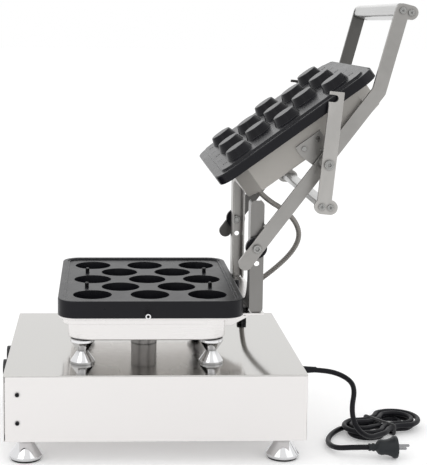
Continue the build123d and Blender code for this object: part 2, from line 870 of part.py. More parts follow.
# Locating pins that guide the head onto the lower plate
with BuildPart() as locating_pins:
    with BuildSketch(Plane.XY.offset(recess_z - pin_root)):
        with Locations((0, unit_y)):
            with GridLocations(pin_spacing_x, pin_spacing_y, 2, 2):
                Circle(pin_diameter / 2)
    extrude(amount=pin_root + pin_height)
    chamfer(locating_pins.faces().sort_by(Axis.Z)[-4:].edges(), 1)
locating_pins.part.label = "locating_pins"
export_step(locating_pins.part, "parts/locating_pins.step")

# Catch pins on both sides of the lower plate
with BuildPart() as catch_pins:
    for side in (1, -1):
        with BuildSketch(side_plane(side * plate_width / 2)):
            with Locations((closed_pivot_y, catch_pin_z)):
                Circle(catch_pin_diameter / 2)
                Circle(catch_pin_bore / 2, mode=Mode.SUBTRACT)
        extrude(amount=side * catch_pin_length)
catch_pins.part.label = "catch_pins"
export_step(catch_pins.part, "parts/catch_pins.step")

# Temperature probe's cap behind the lower plate
probe_y = unit_y + plate_depth / 2 + probe_diameter / 2 + face_clearance
with BuildPart() as probe_cap:
    with BuildSketch(Plane.XY.offset(plate_bottom_z)):
        with Locations((0, probe_y)):
            Circle(probe_diameter / 2)
    extrude(amount=probe_height)
    fillet(probe_cap.faces().sort_by(Axis.Z)[-1].edges(), 2)
probe_cap.part.label = "probe_cap"
export_step(probe_cap.part, "parts/probe_cap.step")

# Posts: channels on the plate's back edge, open towards the middle, each with a gusset
post_front_y = post_centre_y - post_width / 2
post_inner_x = post_outer_x - post_section
for name, side in SIDES:
    with BuildPart() as post:
        with BuildSketch(Plane.XY.offset(plate_bottom_z)):
            with Locations((side * (post_outer_x - post_section / 2), post_centre_y)):
                Rectangle(post_section, post_width)
            with Locations((side * (post_outer_x - post_wall - post_section / 2), post_centre_y)):
                Rectangle(post_section, post_width - 2 * post_wall, mode=Mode.SUBTRACT)
        extrude(amount=post_height)
        with BuildSketch(side_plane(side * post_outer_x)) as side_view:
            with Locations((post_centre_y, plate_bottom_z + post_height / 2)):
                Rectangle(post_width, post_height)
            fillet(side_view.vertices().group_by(Axis.Z)[-1], post_round)
        extrude(amount=-side * post_section, mode=Mode.INTERSECT)
        with BuildSketch(front_plane(post_front_y)):
            with BuildLine():
                Polyline(
                    (side * (post_inner_x + 1), plate_bottom_z),
                    (side * (post_inner_x - gusset_reach), plate_bottom_z),
                    (side * (post_inner_x - gusset_reach), plate_bottom_z + 8),
                )
                ThreePointArc(
                    (side * (post_inner_x - gusset_reach), plate_bottom_z + 8),
                    (
                        side * (post_inner_x - gusset_reach * 0.34),
                        plate_bottom_z + gusset_height * 0.42,
                    ),
                    (side * post_inner_x, plate_bottom_z + gusset_height),
                )
                Polyline(
                    (side * post_inner_x, plate_bottom_z + gusset_height),
                    (side * (post_inner_x + 1), plate_bottom_z + gusset_height),
                    (side * (post_inner_x + 1), plate_bottom_z),
                )
            make_face()
        extrude(amount=-post_wall)
        with BuildSketch(side_plane(side * post_outer_x)):
            with Locations((arm_pivot_y, arm_pivot_z)):
                Circle(pivot_bolt / 2 + running_clearance)
            with Locations((post_centre_y, arm_pivot_z - post_hole_drop)):
                Circle(post_hole / 2)
        extrude(amount=-side * post_wall, mode=Mode.SUBTRACT)
    post.part.label = f"{name}_post"
    export_step(post.part, f"parts/{name}_post.step")

# Bolts that hold the posts' feet down to the plate
with BuildPart() as post_bolts:
    with BuildSketch(Plane.XY.offset(plate_bottom_z)):
        with Locations(post_bolt_places):
            RegularPolygon(post_bolt_head / 2, 6, major_radius=False)
    extrude(amount=post_bolt_height)
    with BuildSketch(Plane.XY.offset(plate_bottom_z)):
        with Locations(post_bolt_places):
            Circle(post_bolt_shank / 2)
    extrude(amount=-bench_plate_thickness - 5)
post_bolts.part.label = "post_bolts"
export_step(post_bolts.part, "parts/post_bolts.step")

# Bosses that space the arms off the posts and swing with them
with BuildPart() as pivot_bosses:
    for side in (1, -1):
        with BuildSketch(side_plane(side * (post_outer_x + face_clearance))):
            with Locations((arm_pivot_y, arm_pivot_z)):
                Circle(pivot_boss / 2)
                Circle(pivot_bolt / 2 + running_clearance, mode=Mode.SUBTRACT)
        extrude(amount=side * (arm_gap - 2 * face_clearance))
pivot_bosses.part.label = "pivot_bosses"
export_step(pivot_bosses.part, "parts/pivot_bosses.step")

# Pivot bolts through post, boss and arm, with their nuts inside the channels
with BuildPart() as pivot_bolts:
    for side in (1, -1):
        with BuildSketch(side_plane(side * (arm_outer_x + face_clearance))):
            with Locations((arm_pivot_y, arm_pivot_z)):
                Circle(pivot_bolt_head / 2)
        extrude(amount=side * pivot_bolt_height)
        with BuildSketch(side_plane(side * (arm_outer_x + face_clearance + pivot_bolt_height))):
            with Locations((arm_pivot_y, arm_pivot_z)):
                RegularPolygon(4, 6)
        extrude(amount=-side * pivot_bolt_socket, mode=Mode.SUBTRACT)
        with BuildSketch(side_plane(side * (arm_outer_x + face_clearance))):
            with Locations((arm_pivot_y, arm_pivot_z)):
                Circle(pivot_bolt / 2)
        extrude(amount=side * (pivot_bolt_end_x - arm_outer_x - face_clearance))
    for side in (1, -1):
        with BuildSketch(side_plane(side * (post_outer_x - post_wall))):
            with Locations((arm_pivot_y, arm_pivot_z)):
                RegularPolygon(pivot_nut_width / 2, 6, rotation=30, major_radius=False)
                Circle(pivot_bolt / 2 + running_clearance, mode=Mode.SUBTRACT)
        extrude(amount=-side * pivot_nut_height)
pivot_bolts.part.label = "pivot_bolts"
export_step(pivot_bolts.part, "parts/pivot_bolts.step")

# Arms: flat bars with one bend, a stop tab near the pivot and a wide end for the handle
arm_tail_point = slanted(arm_pivot_y, arm_pivot_z, -arm_tail, arm_open_angle)
arm_bend = slanted(arm_pivot_y, arm_pivot_z, arm_straight, arm_open_angle)
arm_end = slanted(*arm_bend, arm_top_length, arm_top_angle)
handle_screw_back = slanted(*arm_end, handle_screw_pitch, -handle_screw_turn)
handle_middle = slanted(*arm_end, handle_screw_pitch / 2, -handle_screw_turn)
stop_tab = slanted(
    *slanted(arm_pivot_y, arm_pivot_z, stop_tab_reach, arm_open_angle),
    arm_width / 2,
    arm_open_angle + 90,
)


def bar_between(start, end, width):
    """A round-ended bar of that width in the current sketch, from one centre to the other."""
    with Locations(((start[0] + end[0]) / 2, (start[1] + end[1]) / 2)):
        SlotCenterToCenter(
            math.hypot(end[0] - start[0], end[1] - start[1]),
            width,
            rotation=math.degrees(math.atan2(end[1] - start[1], end[0] - start[0])),
        )


for name, side in SIDES:
    with BuildPart() as arm:
        with BuildSketch(side_plane(side * arm_inner_x)):
            bar_between(arm_tail_point, arm_bend, arm_width)
            bar_between(arm_bend, arm_end, arm_width)
            bar_between(arm_end, handle_screw_back, arm_width)
            with Locations(stop_tab):
                Rectangle(stop_tab_width, 2 * stop_tab_height, rotation=arm_open_angle)
            with Locations((arm_pivot_y, arm_pivot_z)):
                Circle(pivot_bolt / 2 + running_clearance, mode=Mode.SUBTRACT)
            with Locations((head_pivot_y, head_pivot_z)):
                Circle(head_bolt / 2 + running_clearance, mode=Mode.SUBTRACT)
            with Locations(arm_end, handle_screw_back):
                Circle(handle_screw_shank / 2 + running_clearance, mode=Mode.SUBTRACT)
        extrude(amount=side * arm_thickness)
    arm.part.label = f"{name}_arm"
    export_step(arm.part, f"parts/{name}_arm.step")

# Handle bar between the arms' ends, and its screws
with BuildPart() as handle_bar:
    with BuildSketch(side_plane(-arm_inner_x)):
        with Locations(handle_middle):
            RectangleRounded(
                handle_bar_width,
                handle_bar_thickness,
                handle_bar_round,
                rotation=-handle_screw_turn,
            )
        with Locations(arm_end, handle_screw_back):
            Circle(handle_screw_shank / 2 + running_clearance, mode=Mode.SUBTRACT)
    extrude(amount=2 * arm_inner_x)
handle_bar.part.label = "handle_bar"
export_step(handle_bar.part, "parts/handle_bar.step")

with BuildPart() as handle_screws:
    for side in (1, -1):
        with BuildSketch(side_plane(side * arm_outer_x)):
            with Locations(arm_end, handle_screw_back):
                Circle(handle_screw_head / 2)
        extrude(amount=side * 2.5)
        with BuildSketch(side_plane(side * (arm_outer_x + 2.5))):
            with Locations(arm_end, handle_screw_back):
                RegularPolygon(2.4, 6)
        extrude(amount=-side * 1.6, mode=Mode.SUBTRACT)
        with BuildSketch(side_plane(side * arm_outer_x)):
            with Locations(arm_end, handle_screw_back):
                Circle(handle_screw_shank / 2)
        extrude(amount=-side * (arm_thickness + handle_screw_depth))
handle_screws.part.label = "handle_screws"
export_step(handle_screws.part, "parts/handle_screws.step")

# Upper baking plate: a stepped casting with tapered punches on its working face, and a
# relief at the back for each arm, which swings in there when the head is pressed home
relief_bend = slanted(
    0, 0, arm_straight - arm_reach, arm_open_angle - head_incline + press_turn
)
relief_end = slanted(*relief_bend, arm_top_length, arm_top_angle - head_incline + press_turn)
with BuildPart() as upper_plate:
    with BuildSketch(plate_plane.offset(plate_back_h)):
        RectangleRounded(plate_width, plate_depth, plate_corner)
    extrude(amount=upper_plate_thickness)
    fillet(upper_plate.faces().sort_by(Axis(head_plane.origin, head_plane.z_dir))[-1].edges(), 2)
    fillet(upper_plate.faces().sort_by(Axis(head_plane.origin, head_plane.z_dir))[0].edges(), 1.5)
    slab_taper = math.degrees(math.atan(slab_chamfer / slab_rise))
    with BuildSketch(plate_plane.offset(head_depth)):
        RectangleRounded(
            plate_width - 2 * (rim_width + slab_clearance),
            plate_depth - 2 * (rim_width + slab_clearance),
            plate_corner - rim_width,
        )
    extrude(amount=slab_rise, taper=slab_taper)
    punch_taper = math.degrees(
        math.atan((punch_diameter - punch_tip_diameter) / 2 / punch_length)
    )
    with BuildSketch(plate_plane.offset(head_depth + slab_rise)):
        with Locations(cavity_places):
            Circle(punch_diameter / 2)
    extrude(amount=punch_length, taper=punch_taper)
    tips = upper_plate.faces().group_by(Axis(head_plane.origin, head_plane.z_dir))[-1]
    fillet(tips.edges(), 2.0)
    with BuildSketch(plate_plane.offset(head_depth + slab_rise)):
        with GridLocations(pin_spacing_x, pin_spacing_y, 2, 2):
            Circle(pin_diameter / 2 + socket_clearance)
    extrude(amount=-socket_depth, mode=Mode.SUBTRACT)
    with BuildSketch(plate_plane.offset(head_depth + slab_rise)):
        with GridLocations(2 * cavity_pitch_x, cavity_pitch_y, 2, 2):
            Circle(vent_diameter / 2)
        with GridLocations(cavity_pitch_x, mark_spacing_y, 4, 2):
            Rectangle(mark_width, mark_long)
        with GridLocations(cavity_pitch_x, tongue_spacing_y, 3, 2):
            Circle(tongue_size / 2)
            Circle(tongue_size / 2 - mark_width, mode=Mode.SUBTRACT)
    extrude(amount=-mark_depth, mode=Mode.SUBTRACT)
    for side in (1, -1):
        relief_plane = Plane(
            origin=head_point(side * (arm_inner_x - relief_gap), 0, 0),
            x_dir=head_plane.y_dir,
            z_dir=(1, 0, 0),
        )
        with BuildSketch(relief_plane):
            bar_between((0, 0), relief_bend, arm_width + 2 * relief_gap)
            bar_between(relief_bend, relief_end, arm_width + 2 * relief_gap)
        extrude(amount=side * (arm_thickness + 2 * relief_gap), mode=Mode.SUBTRACT)
upper_plate.part.label = "upper_plate"
export_step(upper_plate.part, "parts/upper_plate.step")

# Upper housing behind the plate: a pan with cut corners and a hole for the conduit
cut_share = 2 - math.sqrt(2)
inner_cut = upper_housing_cut - cut_share * housing_sheet
fill_cut = inner_cut - cut_share * inner_gap
with BuildPart() as upper_housing:
    with BuildSketch(head_plane.offset(housing_back_h)):
        cut_rectangle(housing_width, housing_depth, upper_housing_cut)
    extrude(amount=upper_housing_height)
    back_edges = upper_housing.faces().sort_by(Axis(head_plane.origin, head_plane.z_dir))[0].edges()
    fillet(back_edges, 2.5)
    with BuildSketch(head_plane.offset(housing_back_h + housing_sheet)):
        cut_rectangle(
            housing_width - 2 * housing_sheet, housing_depth - 2 * housing_sheet, inner_cut
        )
    extrude(amount=upper_housing_height - housing_sheet, mode=Mode.SUBTRACT)
    with BuildSketch(head_plane.offset(housing_back_h)):
        with Locations(conduit_top):
            Circle(conduit_diameter / 2 + gland_clearance)
    extrude(amount=housing_sheet, mode=Mode.SUBTRACT)
upper_housing.part.label = "upper_housing"
export_step(upper_housing.part, "parts/upper_housing.step")

# Heater and insulation inside the upper housing
with BuildPart() as upper_heater:
    with BuildSketch(head_plane.offset(plate_back_h - heater_thickness)):
        cut_rectangle(
            housing_width - 2 * housing_sheet - 2 * inner_gap,
            housing_depth - 2 * housing_sheet - 2 * inner_gap,
            fill_cut,
        )
    extrude(amount=heater_thickness)
upper_heater.part.label = "upper_heater"
export_step(upper_heater.part, "parts/upper_heater.step")

with BuildPart() as upper_insulation:
    with BuildSketch(head_plane.offset(housing_back_h + housing_sheet)):
        cut_rectangle(
            housing_width - 2 * housing_sheet - 2 * inner_gap,
            housing_depth - 2 * housing_sheet - 2 * inner_gap,
            fill_cut,
        )
        with Locations(conduit_top):
            Circle(gland_diameter / 2, mode=Mode.SUBTRACT)
    extrude(amount=upper_housing_height - housing_sheet - heater_thickness - insulation_gap)
upper_insulation.part.label = "upper_insulation"
export_step(upper_insulation.part, "parts/upper_insulation.step")

# Lugs on the housing's sides that hang the head on the arms
with BuildPart() as head_lugs:
    for side in (1, -1):
        lug_plane = Plane(
            origin=head_point(side * housing_width / 2, 0, 0),
            x_dir=head_plane.y_dir,
            z_dir=(1, 0, 0),
        )
        with BuildSketch(lug_plane):
            with BuildLine():
                Polyline(
                    (-lug_root_width / 2, lug_root_height),
                    (lug_root_width / 2, lug_root_height),
                    (lug_root_width / 2, lug_root_height * 0.6),
                    (lug_round, 0),
                    (-lug_round, 0),
                    (-lug_root_width / 2, lug_root_height * 0.6),
                    close=True,
                )
            lug_face = make_face()
            fillet(lug_face.vertices().group_by(Axis(head_plane.origin, head_plane.z_dir))[-1], 9)
            Circle(lug_round)
            Circle(head_bolt / 2 + head_bush_wall + running_clearance, mode=Mode.SUBTRACT)
            with Locations(
                (-lug_screw_pitch / 2, lug_screw_h), (lug_screw_pitch / 2, lug_screw_h)
            ):
                Circle(lug_screw_shank / 2 + running_clearance, mode=Mode.SUBTRACT)
        extrude(amount=side * lug_thickness)
head_lugs.part.label = "head_lugs"
export_step(head_lugs.part, "parts/head_lugs.step")

# Screws and rivets that fix the lugs to the housing
with BuildPart() as lug_screws:
    for side in (1, -1):
        lug_outside = Plane(
            origin=head_point(side * (housing_width / 2 + lug_thickness), 0, 0),
            x_dir=head_plane.y_dir,
            z_dir=(1, 0, 0),
        )
        with BuildSketch(lug_outside):
            with Locations(
                (-lug_screw_pitch / 2, lug_screw_h), (lug_screw_pitch / 2, lug_screw_h)
            ):
                Circle(lug_screw_head / 2)
        extrude(amount=side * 2)
        with BuildSketch(lug_outside):
            with Locations(
                (-lug_screw_pitch / 2, lug_screw_h), (lug_screw_pitch / 2, lug_screw_h)
            ):
                Circle(lug_screw_shank / 2)
        extrude(amount=-side * lug_thickness)
        with BuildSketch(lug_outside):
            with Locations(rivet_place):
                Circle(rivet_diameter / 2)
        extrude(amount=side * 1.2)
lug_screws.part.label = "lug_screws"
export_step(lug_screws.part, "parts/lug_screws.step")

# Flanged bushes in the lugs, which turn on the head's bolts
lug_outer_x = housing_width / 2 + lug_thickness
head_bush_outer = head_bolt / 2 + head_bush_wall
with BuildPart() as head_bushes:
    for side in (1, -1):
        with BuildSketch(side_plane(side * (housing_width / 2))):
            with Locations((head_pivot_y, head_pivot_z)):
                Circle(head_bush_outer)
        extrude(amount=side * (arm_inner_x - face_clearance - housing_width / 2))
        with BuildSketch(side_plane(side * (lug_outer_x + face_clearance))):
            with Locations((head_pivot_y, head_pivot_z)):
                Circle(head_bush_outer + 3)
        extrude(amount=side * (arm_inner_x - lug_outer_x - 2 * face_clearance))
        with BuildSketch(side_plane(side * (housing_width / 2))):
            with Locations((head_pivot_y, head_pivot_z)):
                Circle(head_bolt / 2 + running_clearance)
        extrude(amount=side * (arm_inner_x - housing_width / 2), mode=Mode.SUBTRACT)
head_bushes.part.label = "head_bushes"
export_step(head_bushes.part, "parts/head_bushes.step")

# Bolts through lever, spacer, arm and lug, with their nuts beside the lugs
with BuildPart() as head_bolts:
    for side in (1, -1):
        with BuildSketch(side_plane(side * (lever_outer_x + face_clearance))):
            with Locations((head_pivot_y, head_pivot_z)):
                Circle(head_bolt_head / 2)
        extrude(amount=side * 4.5)
        with BuildSketch(side_plane(side * (lever_outer_x + face_clearance + 4.5))):
            with Locations((head_pivot_y, head_pivot_z)):
                RegularPolygon(3.6, 6)
        extrude(amount=-side * 2.5, mode=Mode.SUBTRACT)
        with BuildSketch(side_plane(side * (lever_outer_x + face_clearance))):
            with Locations((head_pivot_y, head_pivot_z)):
                Circle(head_bolt / 2)
        extrude(
            amount=-side
            * (lever_outer_x + face_clearance - housing_width / 2 + face_clearance + head_bolt_nut_height)
        )
    for side in (1, -1):
        with BuildSketch(side_plane(side * (housing_width / 2 - face_clearance))):
            with Locations((head_pivot_y, head_pivot_z)):
                Circle(head_bolt_nut / 2)
                Circle(head_bolt / 2 + running_clearance, mode=Mode.SUBTRACT)
        extrude(amount=-side * head_bolt_nut_height)
head_bolts.part.label = "head_bolts"
export_step(head_bolts.part, "parts/head_bolts.step")

# Tubes that space the latch levers out past the baking plates
with BuildPart() as latch_spacers:
    for side in (1, -1):
        with BuildSketch(side_plane(side * arm_outer_x)):
            with Locations((head_pivot_y, head_pivot_z)):
                Circle(spacer_diameter / 2)
                Circle(head_bolt / 2 + running_clearance, mode=Mode.SUBTRACT)
        extrude(amount=side * (lever_gap - face_clearance))
latch_spacers.part.label = "latch_spacers"
export_step(latch_spacers.part, "parts/latch_spacers.step")

# Latch levers: flat bars with a hook slot at the top and a foot for the cross bar
lever_up = 90 - lever_lean


def lever_point(across, along):
    """The side-view point that far across and along a lever from its pivot."""
    turn = math.radians(lever_up)
    return (
        head_pivot_y + along * math.cos(turn) + across * math.sin(turn),
        head_pivot_z + along * math.sin(turn) - across * math.cos(turn),
    )


hook_along = math.sqrt(hook_reach**2 - slot_seat**2)
latch_screw_places = [
    lever_point(-latch_screw_front, -latch_screw_drop),
    lever_point(latch_screw_pitch - latch_screw_front, -latch_screw_drop),
]
latch_bar_place = lever_point(
    latch_screw_pitch / 2 - latch_screw_front + latch_bar_shift, -latch_screw_drop
)
for name, side in SIDES:
    with BuildPart() as lever:
        with BuildSketch(side_plane(side * lever_inner_x)):
            lever_low = -latch_screw_drop
            lever_high = hook_along + lever_top
            with Locations(lever_point(0, (lever_low + lever_high) / 2)):
                Rectangle(lever_width, lever_high - lever_low, rotation=-lever_lean)
            bar_between(*latch_screw_places, lever_width + 1)
            with Locations(lever_point(-slot_seat - lever_width / 2, hook_along)):
                SlotOverall(
                    lever_width + slot_height,
                    slot_height,
                    rotation=-lever_lean,
                    mode=Mode.SUBTRACT,
                )
            with Locations((head_pivot_y, head_pivot_z)):
                Circle(head_bolt / 2 + running_clearance, mode=Mode.SUBTRACT)
            with Locations(latch_screw_places):
                Circle(latch_screw_shank / 2 + running_clearance, mode=Mode.SUBTRACT)
        extrude(amount=side * lever_thickness)
        hook_corners = lever.edges().filter_by(Axis.X).group_by(Axis.Z)[-1]
        fillet(hook_corners, 1.5)
    lever.part.label = f"{name}_latch_lever"
    export_step(lever.part, f"parts/{name}_latch_lever.step")

# Bar that joins the two levers, and its screws
with BuildPart() as latch_bar:
    with BuildSketch(side_plane(-lever_inner_x)):
        with Locations(latch_bar_place):
            RectangleRounded(latch_bar_width, latch_bar_thickness, 2, rotation=-lever_lean)
        with Locations(latch_screw_places):
            Circle(latch_screw_shank / 2 + running_clearance, mode=Mode.SUBTRACT)
    extrude(amount=2 * lever_inner_x)
latch_bar.part.label = "latch_bar"
export_step(latch_bar.part, "parts/latch_bar.step")

with BuildPart() as latch_screws:
    for side in (1, -1):
        with BuildSketch(side_plane(side * lever_outer_x)):
            with Locations(latch_screw_places):
                Circle(latch_screw_head / 2)
        extrude(amount=side * 2.5)
        with BuildSketch(side_plane(side * (lever_outer_x + 2.5))):
            with Locations(latch_screw_places):
                RegularPolygon(2.4, 6)
        extrude(amount=-side * 1.6, mode=Mode.SUBTRACT)
        with BuildSketch(side_plane(side * lever_outer_x)):
            with Locations(latch_screw_places):
                Circle(latch_screw_shank / 2)
        extrude(amount=-side * (lever_thickness + 20))
latch_screws.part.label = "latch_screws"
export_step(latch_screws.part, "parts/latch_screws.step")

# Ribbed metal conduit from the cabinet's cover up into the back of the head
conduit_points = [
    head_point(*conduit_top, housing_back_h + conduit_inside_head),
    head_point(*conduit_top, housing_back_h - 24),
    Vector(-60, 139, 400),
    Vector(-75, 170, 381),
    Vector(-88, 196, 355),
    Vector(-97, 205, 325),
    Vector(-106, 192, 294),
    Vector(-116, 163, 262),
    Vector(-127, 126, 230),
    Vector(*conduit_foot, 194),
    Vector(*conduit_foot, base_top_z - conduit_inside_base),
]


def bend_radii(points):
    """The largest radii that tangent arcs at the inner points can have."""
    radii = []
    for before, here, after in zip(points, points[1:], points[2:]):
        run_in = here - before
        run_out = after - here
        turn = math.radians(run_in.get_angle(run_out))
        radii.append(0.45 * min(run_in.length, run_out.length) / math.tan(turn / 2))
    return radii


conduit_radii = bend_radii(conduit_points)
print("conduit radii", [round(radius, 1) for radius in conduit_radii])
rib_root = conduit_diameter / 2 - conduit_rib
with BuildPart() as conduit:
    with BuildLine() as conduit_route:
        FilletPolyline(*conduit_points, radius=conduit_radii)
    conduit_wire = conduit_route.wire()
    rib_count = round((conduit_wire.length - 2 * conduit_diameter) / conduit_rib_pitch)
    rib_start = (conduit_wire.length - rib_count * conduit_rib_pitch) / 2
    stations = [(0.0, rib_root)]
    for rib in range(rib_count):
        foot = rib_start + rib * conduit_rib_pitch
        stations.append((foot + 0.05 * conduit_rib_pitch, rib_root))
        stations.append((foot + 0.25 * conduit_rib_pitch, conduit_diameter / 2))
        stations.append((foot + 0.75 * conduit_rib_pitch, conduit_diameter / 2))
        stations.append((foot + 0.95 * conduit_rib_pitch, rib_root))
    stations.append((conduit_wire.length, rib_root))
    for place, radius in stations:
        share = place / conduit_wire.length
        with BuildSketch(
            Plane(origin=conduit_wire @ share, x_dir=(1, 0, 0), z_dir=conduit_wire % share)
        ):
            Circle(radius)
    loft(ruled=True)
    with BuildSketch(Plane(origin=conduit_wire @ 0, x_dir=(1, 0, 0), z_dir=conduit_wire % 0)):
        Circle(conduit_bore / 2)
    sweep(path=conduit_wire, mode=Mode.SUBTRACT)
print("conduit ribs", rib_count, "length", round(conduit_wire.length, 1))
conduit.part.label = "flexible_conduit"
export_step(conduit.part, "parts/flexible_conduit.step")

# Glands round the conduit on the head and on the cover
with BuildPart() as head_gland:
    with BuildSketch(head_plane.offset(housing_back_h)):
        with Locations(conduit_top):
            Circle(gland_diameter / 2)
            Circle(conduit_diameter / 2 + gland_clearance, mode=Mode.SUBTRACT)
    extrude(amount=-gland_height, taper=6)
head_gland.part.label = "head_gland"
export_step(head_gland.part, "parts/head_gland.step")

with BuildPart() as base_gland:
    with BuildSketch(Plane.XY.offset(base_top_z)):
        with Locations(conduit_foot):
            RegularPolygon(gland_diameter / 2, 6)
            Circle(conduit_diameter / 2 + gland_clearance, mode=Mode.SUBTRACT)
    extrude(amount=gland_height)
base_gland.part.label = "base_gland"
export_step(base_gland.part, "parts/base_gland.step")

# Cable gland on the back wall
with BuildPart() as cable_gland:
    with BuildSketch(back_plane(base_back_y)):
        with Locations((-cord_exit_x, cord_exit_z)):
            RegularPolygon(cable_gland_diameter / 2, 6)
            Circle(cord_diameter / 2 + screw_clearance, mode=Mode.SUBTRACT)
    extrude(amount=5)
    with BuildSketch(back_plane(base_back_y + 5)):
        with Locations((-cord_exit_x, cord_exit_z)):
            Circle(cable_gland_diameter / 2 - 2)
            Circle(cord_diameter / 2 + screw_clearance, mode=Mode.SUBTRACT)
    extrude(amount=cable_gland_length - 5)
    with BuildSketch(back_plane(base_back_y)):
        with Locations((-cord_exit_x, cord_exit_z)):
            Circle(cord_diameter / 2 + 1.8)
            Circle(cord_diameter / 2 + screw_clearance, mode=Mode.SUBTRACT)
    extrude(amount=-10)
cable_gland.part.label = "cable_gland"
export_step(cable_gland.part, "parts/cable_gland.step")

# Hank of spare cord: two layers of loops drawn in at the waist, tied and laid on the floor
cord_radius = cord_diameter / 2
hank_low_z = tie_thickness + face_clearance / 2 + cord_radius
hank_high_z = hank_low_z + hank_layer_rise
hank_plane = Plane(
    origin=(*hank_centre, 0),
    x_dir=(math.cos(math.radians(hank_angle)), math.sin(math.radians(hank_angle)), 0),
    z_dir=(0, 0, 1),
)
waist_angle = 2 * math.atan(hank_waist_depth / hank_half_length)
waist_radius = hank_half_length / 2 / math.sin(waist_angle)
offsets = [hank_outer - index * hank_pitch / 2 for index in range(4)]
inner_offset = offsets[2] - hank_waist_depth - hank_pitch
climb_radius = (hank_half_length**2 + (hank_layer_rise / 2) ** 2) / hank_layer_rise


def at_hank(u, v, z):
    """The point at u, v along and across the hank, in the machine's frame."""
    return hank_plane.from_local_coords(Vector(u, -v, z))


def waist_arcs(way, side, offset, z):
    """Arcs of one run along the hank; way is its direction, side the side it lies on."""
    reach = hank_half_length
    half_turn = waist_angle / 2
    bow = waist_radius * (1 - math.cos(half_turn))
    ahead = waist_radius * math.sin(half_turn)
    shoulder = offset - hank_waist_depth / 2
    waist = offset - hank_waist_depth
    points = [
        (-reach, offset),
        (-reach + ahead, offset - bow),
        (-reach / 2, shoulder),
        (-ahead, waist + bow),
        (0, waist),
        (ahead, waist + bow),
        (reach / 2, shoulder),
        (reach - ahead, offset - bow),
        (reach, offset),
    ]
    placed = [at_hank(way * u, side * v, z) for u, v in points]
    for first in (0, 2, 4, 6):
        ThreePointArc(placed[first], placed[first + 1], placed[first + 2])


def cap_arc(end, side, offset_in, offset_out, z):
    """Half turn at one end of the hank, from one side to the other."""
    middle = side * (offset_in - offset_out) / 2
    radius = (offset_in + offset_out) / 2
    ThreePointArc(
        at_hank(end * hank_half_length, side * offset_in, z),
        at_hank(end * (hank_half_length + radius), middle, z),
        at_hank(end * hank_half_length, -side * offset_out, z),
    )


with BuildPart() as cord_hank:
    with BuildLine() as hank_route:
        Line(
            at_hank(-hank_half_length - cord_diameter, offsets[0], hank_high_z),
            at_hank(-hank_half_length, offsets[0], hank_high_z),
        )
        waist_arcs(1, 1, offsets[0], hank_high_z)
        cap_arc(1, 1, offsets[0], offsets[1], hank_high_z)
        waist_arcs(-1, -1, offsets[1], hank_high_z)
        cap_arc(-1, -1, offsets[1], offsets[2], hank_high_z)
        waist_arcs(1, 1, offsets[2], hank_high_z)
        cap_arc(1, 1, offsets[2], offsets[3], hank_high_z)
        waist_arcs(-1, -1, offsets[3], hank_high_z)
        cap_arc(-1, -1, offsets[3], inner_offset, hank_high_z)
        climb_bow = climb_radius - math.sqrt(climb_radius**2 - (hank_half_length / 2) ** 2)
        middle_z = (hank_high_z + hank_low_z) / 2
        ThreePointArc(
            at_hank(-hank_half_length, inner_offset, hank_high_z),
            at_hank(-hank_half_length / 2, inner_offset, hank_high_z - climb_bow),
            at_hank(0, inner_offset, middle_z),
        )
        ThreePointArc(
            at_hank(0, inner_offset, middle_z),
            at_hank(hank_half_length / 2, inner_offset, hank_low_z + climb_bow),
            at_hank(hank_half_length, inner_offset, hank_low_z),
        )
        cap_arc(1, 1, inner_offset, offsets[3], hank_low_z)
        waist_arcs(-1, -1, offsets[3], hank_low_z)
        cap_arc(-1, -1, offsets[3], offsets[2], hank_low_z)
        waist_arcs(1, 1, offsets[2], hank_low_z)
        cap_arc(1, 1, offsets[2], offsets[1], hank_low_z)
        waist_arcs(-1, -1, offsets[1], hank_low_z)
        Line(
            at_hank(-hank_half_length, -offsets[1], hank_low_z),
            at_hank(-hank_half_length - cord_diameter, -offsets[1], hank_low_z),
        )
    hank_wire = hank_route.wire()
    with BuildSketch(Plane(origin=hank_wire @ 0, z_dir=hank_wire % 0)):
        Circle(cord_radius)
    sweep(path=hank_wire)
cord_hank.part.label = "cord_hank"
export_step(cord_hank.part, "parts/cord_hank.step")
hank_samples = [hank_wire @ (step / 500) for step in range(501)]
sample_gap = hank_wire.length / 500
apart = math.ceil(4 * cord_diameter / sample_gap)
least = min(
    (hank_samples[first] - hank_samples[second]).length
    for first in range(501)
    for second in range(first + apart, 501)
)
print("hank length", round(hank_wire.length, 1), "least gap", round(least - cord_diameter, 2))
print(
    "hank volume share",
    round(cord_hank.part.volume / (math.pi * cord_radius**2 * hank_wire.length), 4),
)

# Band that ties the hank at its waist
tie_half = hank_outer - hank_waist_depth + cord_radius + face_clearance
tie_height = hank_high_z + cord_radius + face_clearance - tie_thickness
hank_cross = Plane(
    origin=at_hank(-tie_width / 2, 0, 0),
    x_dir=hank_plane.y_dir,
    z_dir=hank_plane.x_dir,
)
with BuildPart() as cord_tie:
    with BuildSketch(hank_cross):
        with Locations((0, tie_height / 2 + tie_thickness)):
            RectangleRounded(
                2 * (tie_half + tie_thickness), tie_height + 2 * tie_thickness, tie_height / 4
            )
            RectangleRounded(
                2 * tie_half, tie_height, tie_height / 4 - tie_thickness, mode=Mode.SUBTRACT
            )
    extrude(amount=tie_width)
cord_tie.part.label = "cord_tie"
export_step(cord_tie.part, "parts/cord_tie.step")


def tube_along(points, name):
    """A plain cord tube through the points; prints its radii and compares its volume."""
    radii = bend_radii(points)
    print(name, "radii", [round(radius, 1) for radius in radii])
    with BuildPart() as tube:
        with BuildLine() as route:
            FilletPolyline(*points, radius=radii)
        wire = route.wire()
        with BuildSketch(Plane(origin=wire @ 0, z_dir=wire % 0)):
            Circle(cord_radius)
        sweep(path=wire)
    tube.part.label = name
    export_step(tube.part, f"parts/{name}.step")
    share = tube.part.volume / (math.pi * cord_radius**2 * wire.length)
    print(name, "length", round(wire.length, 1), "volume share", round(share, 4))


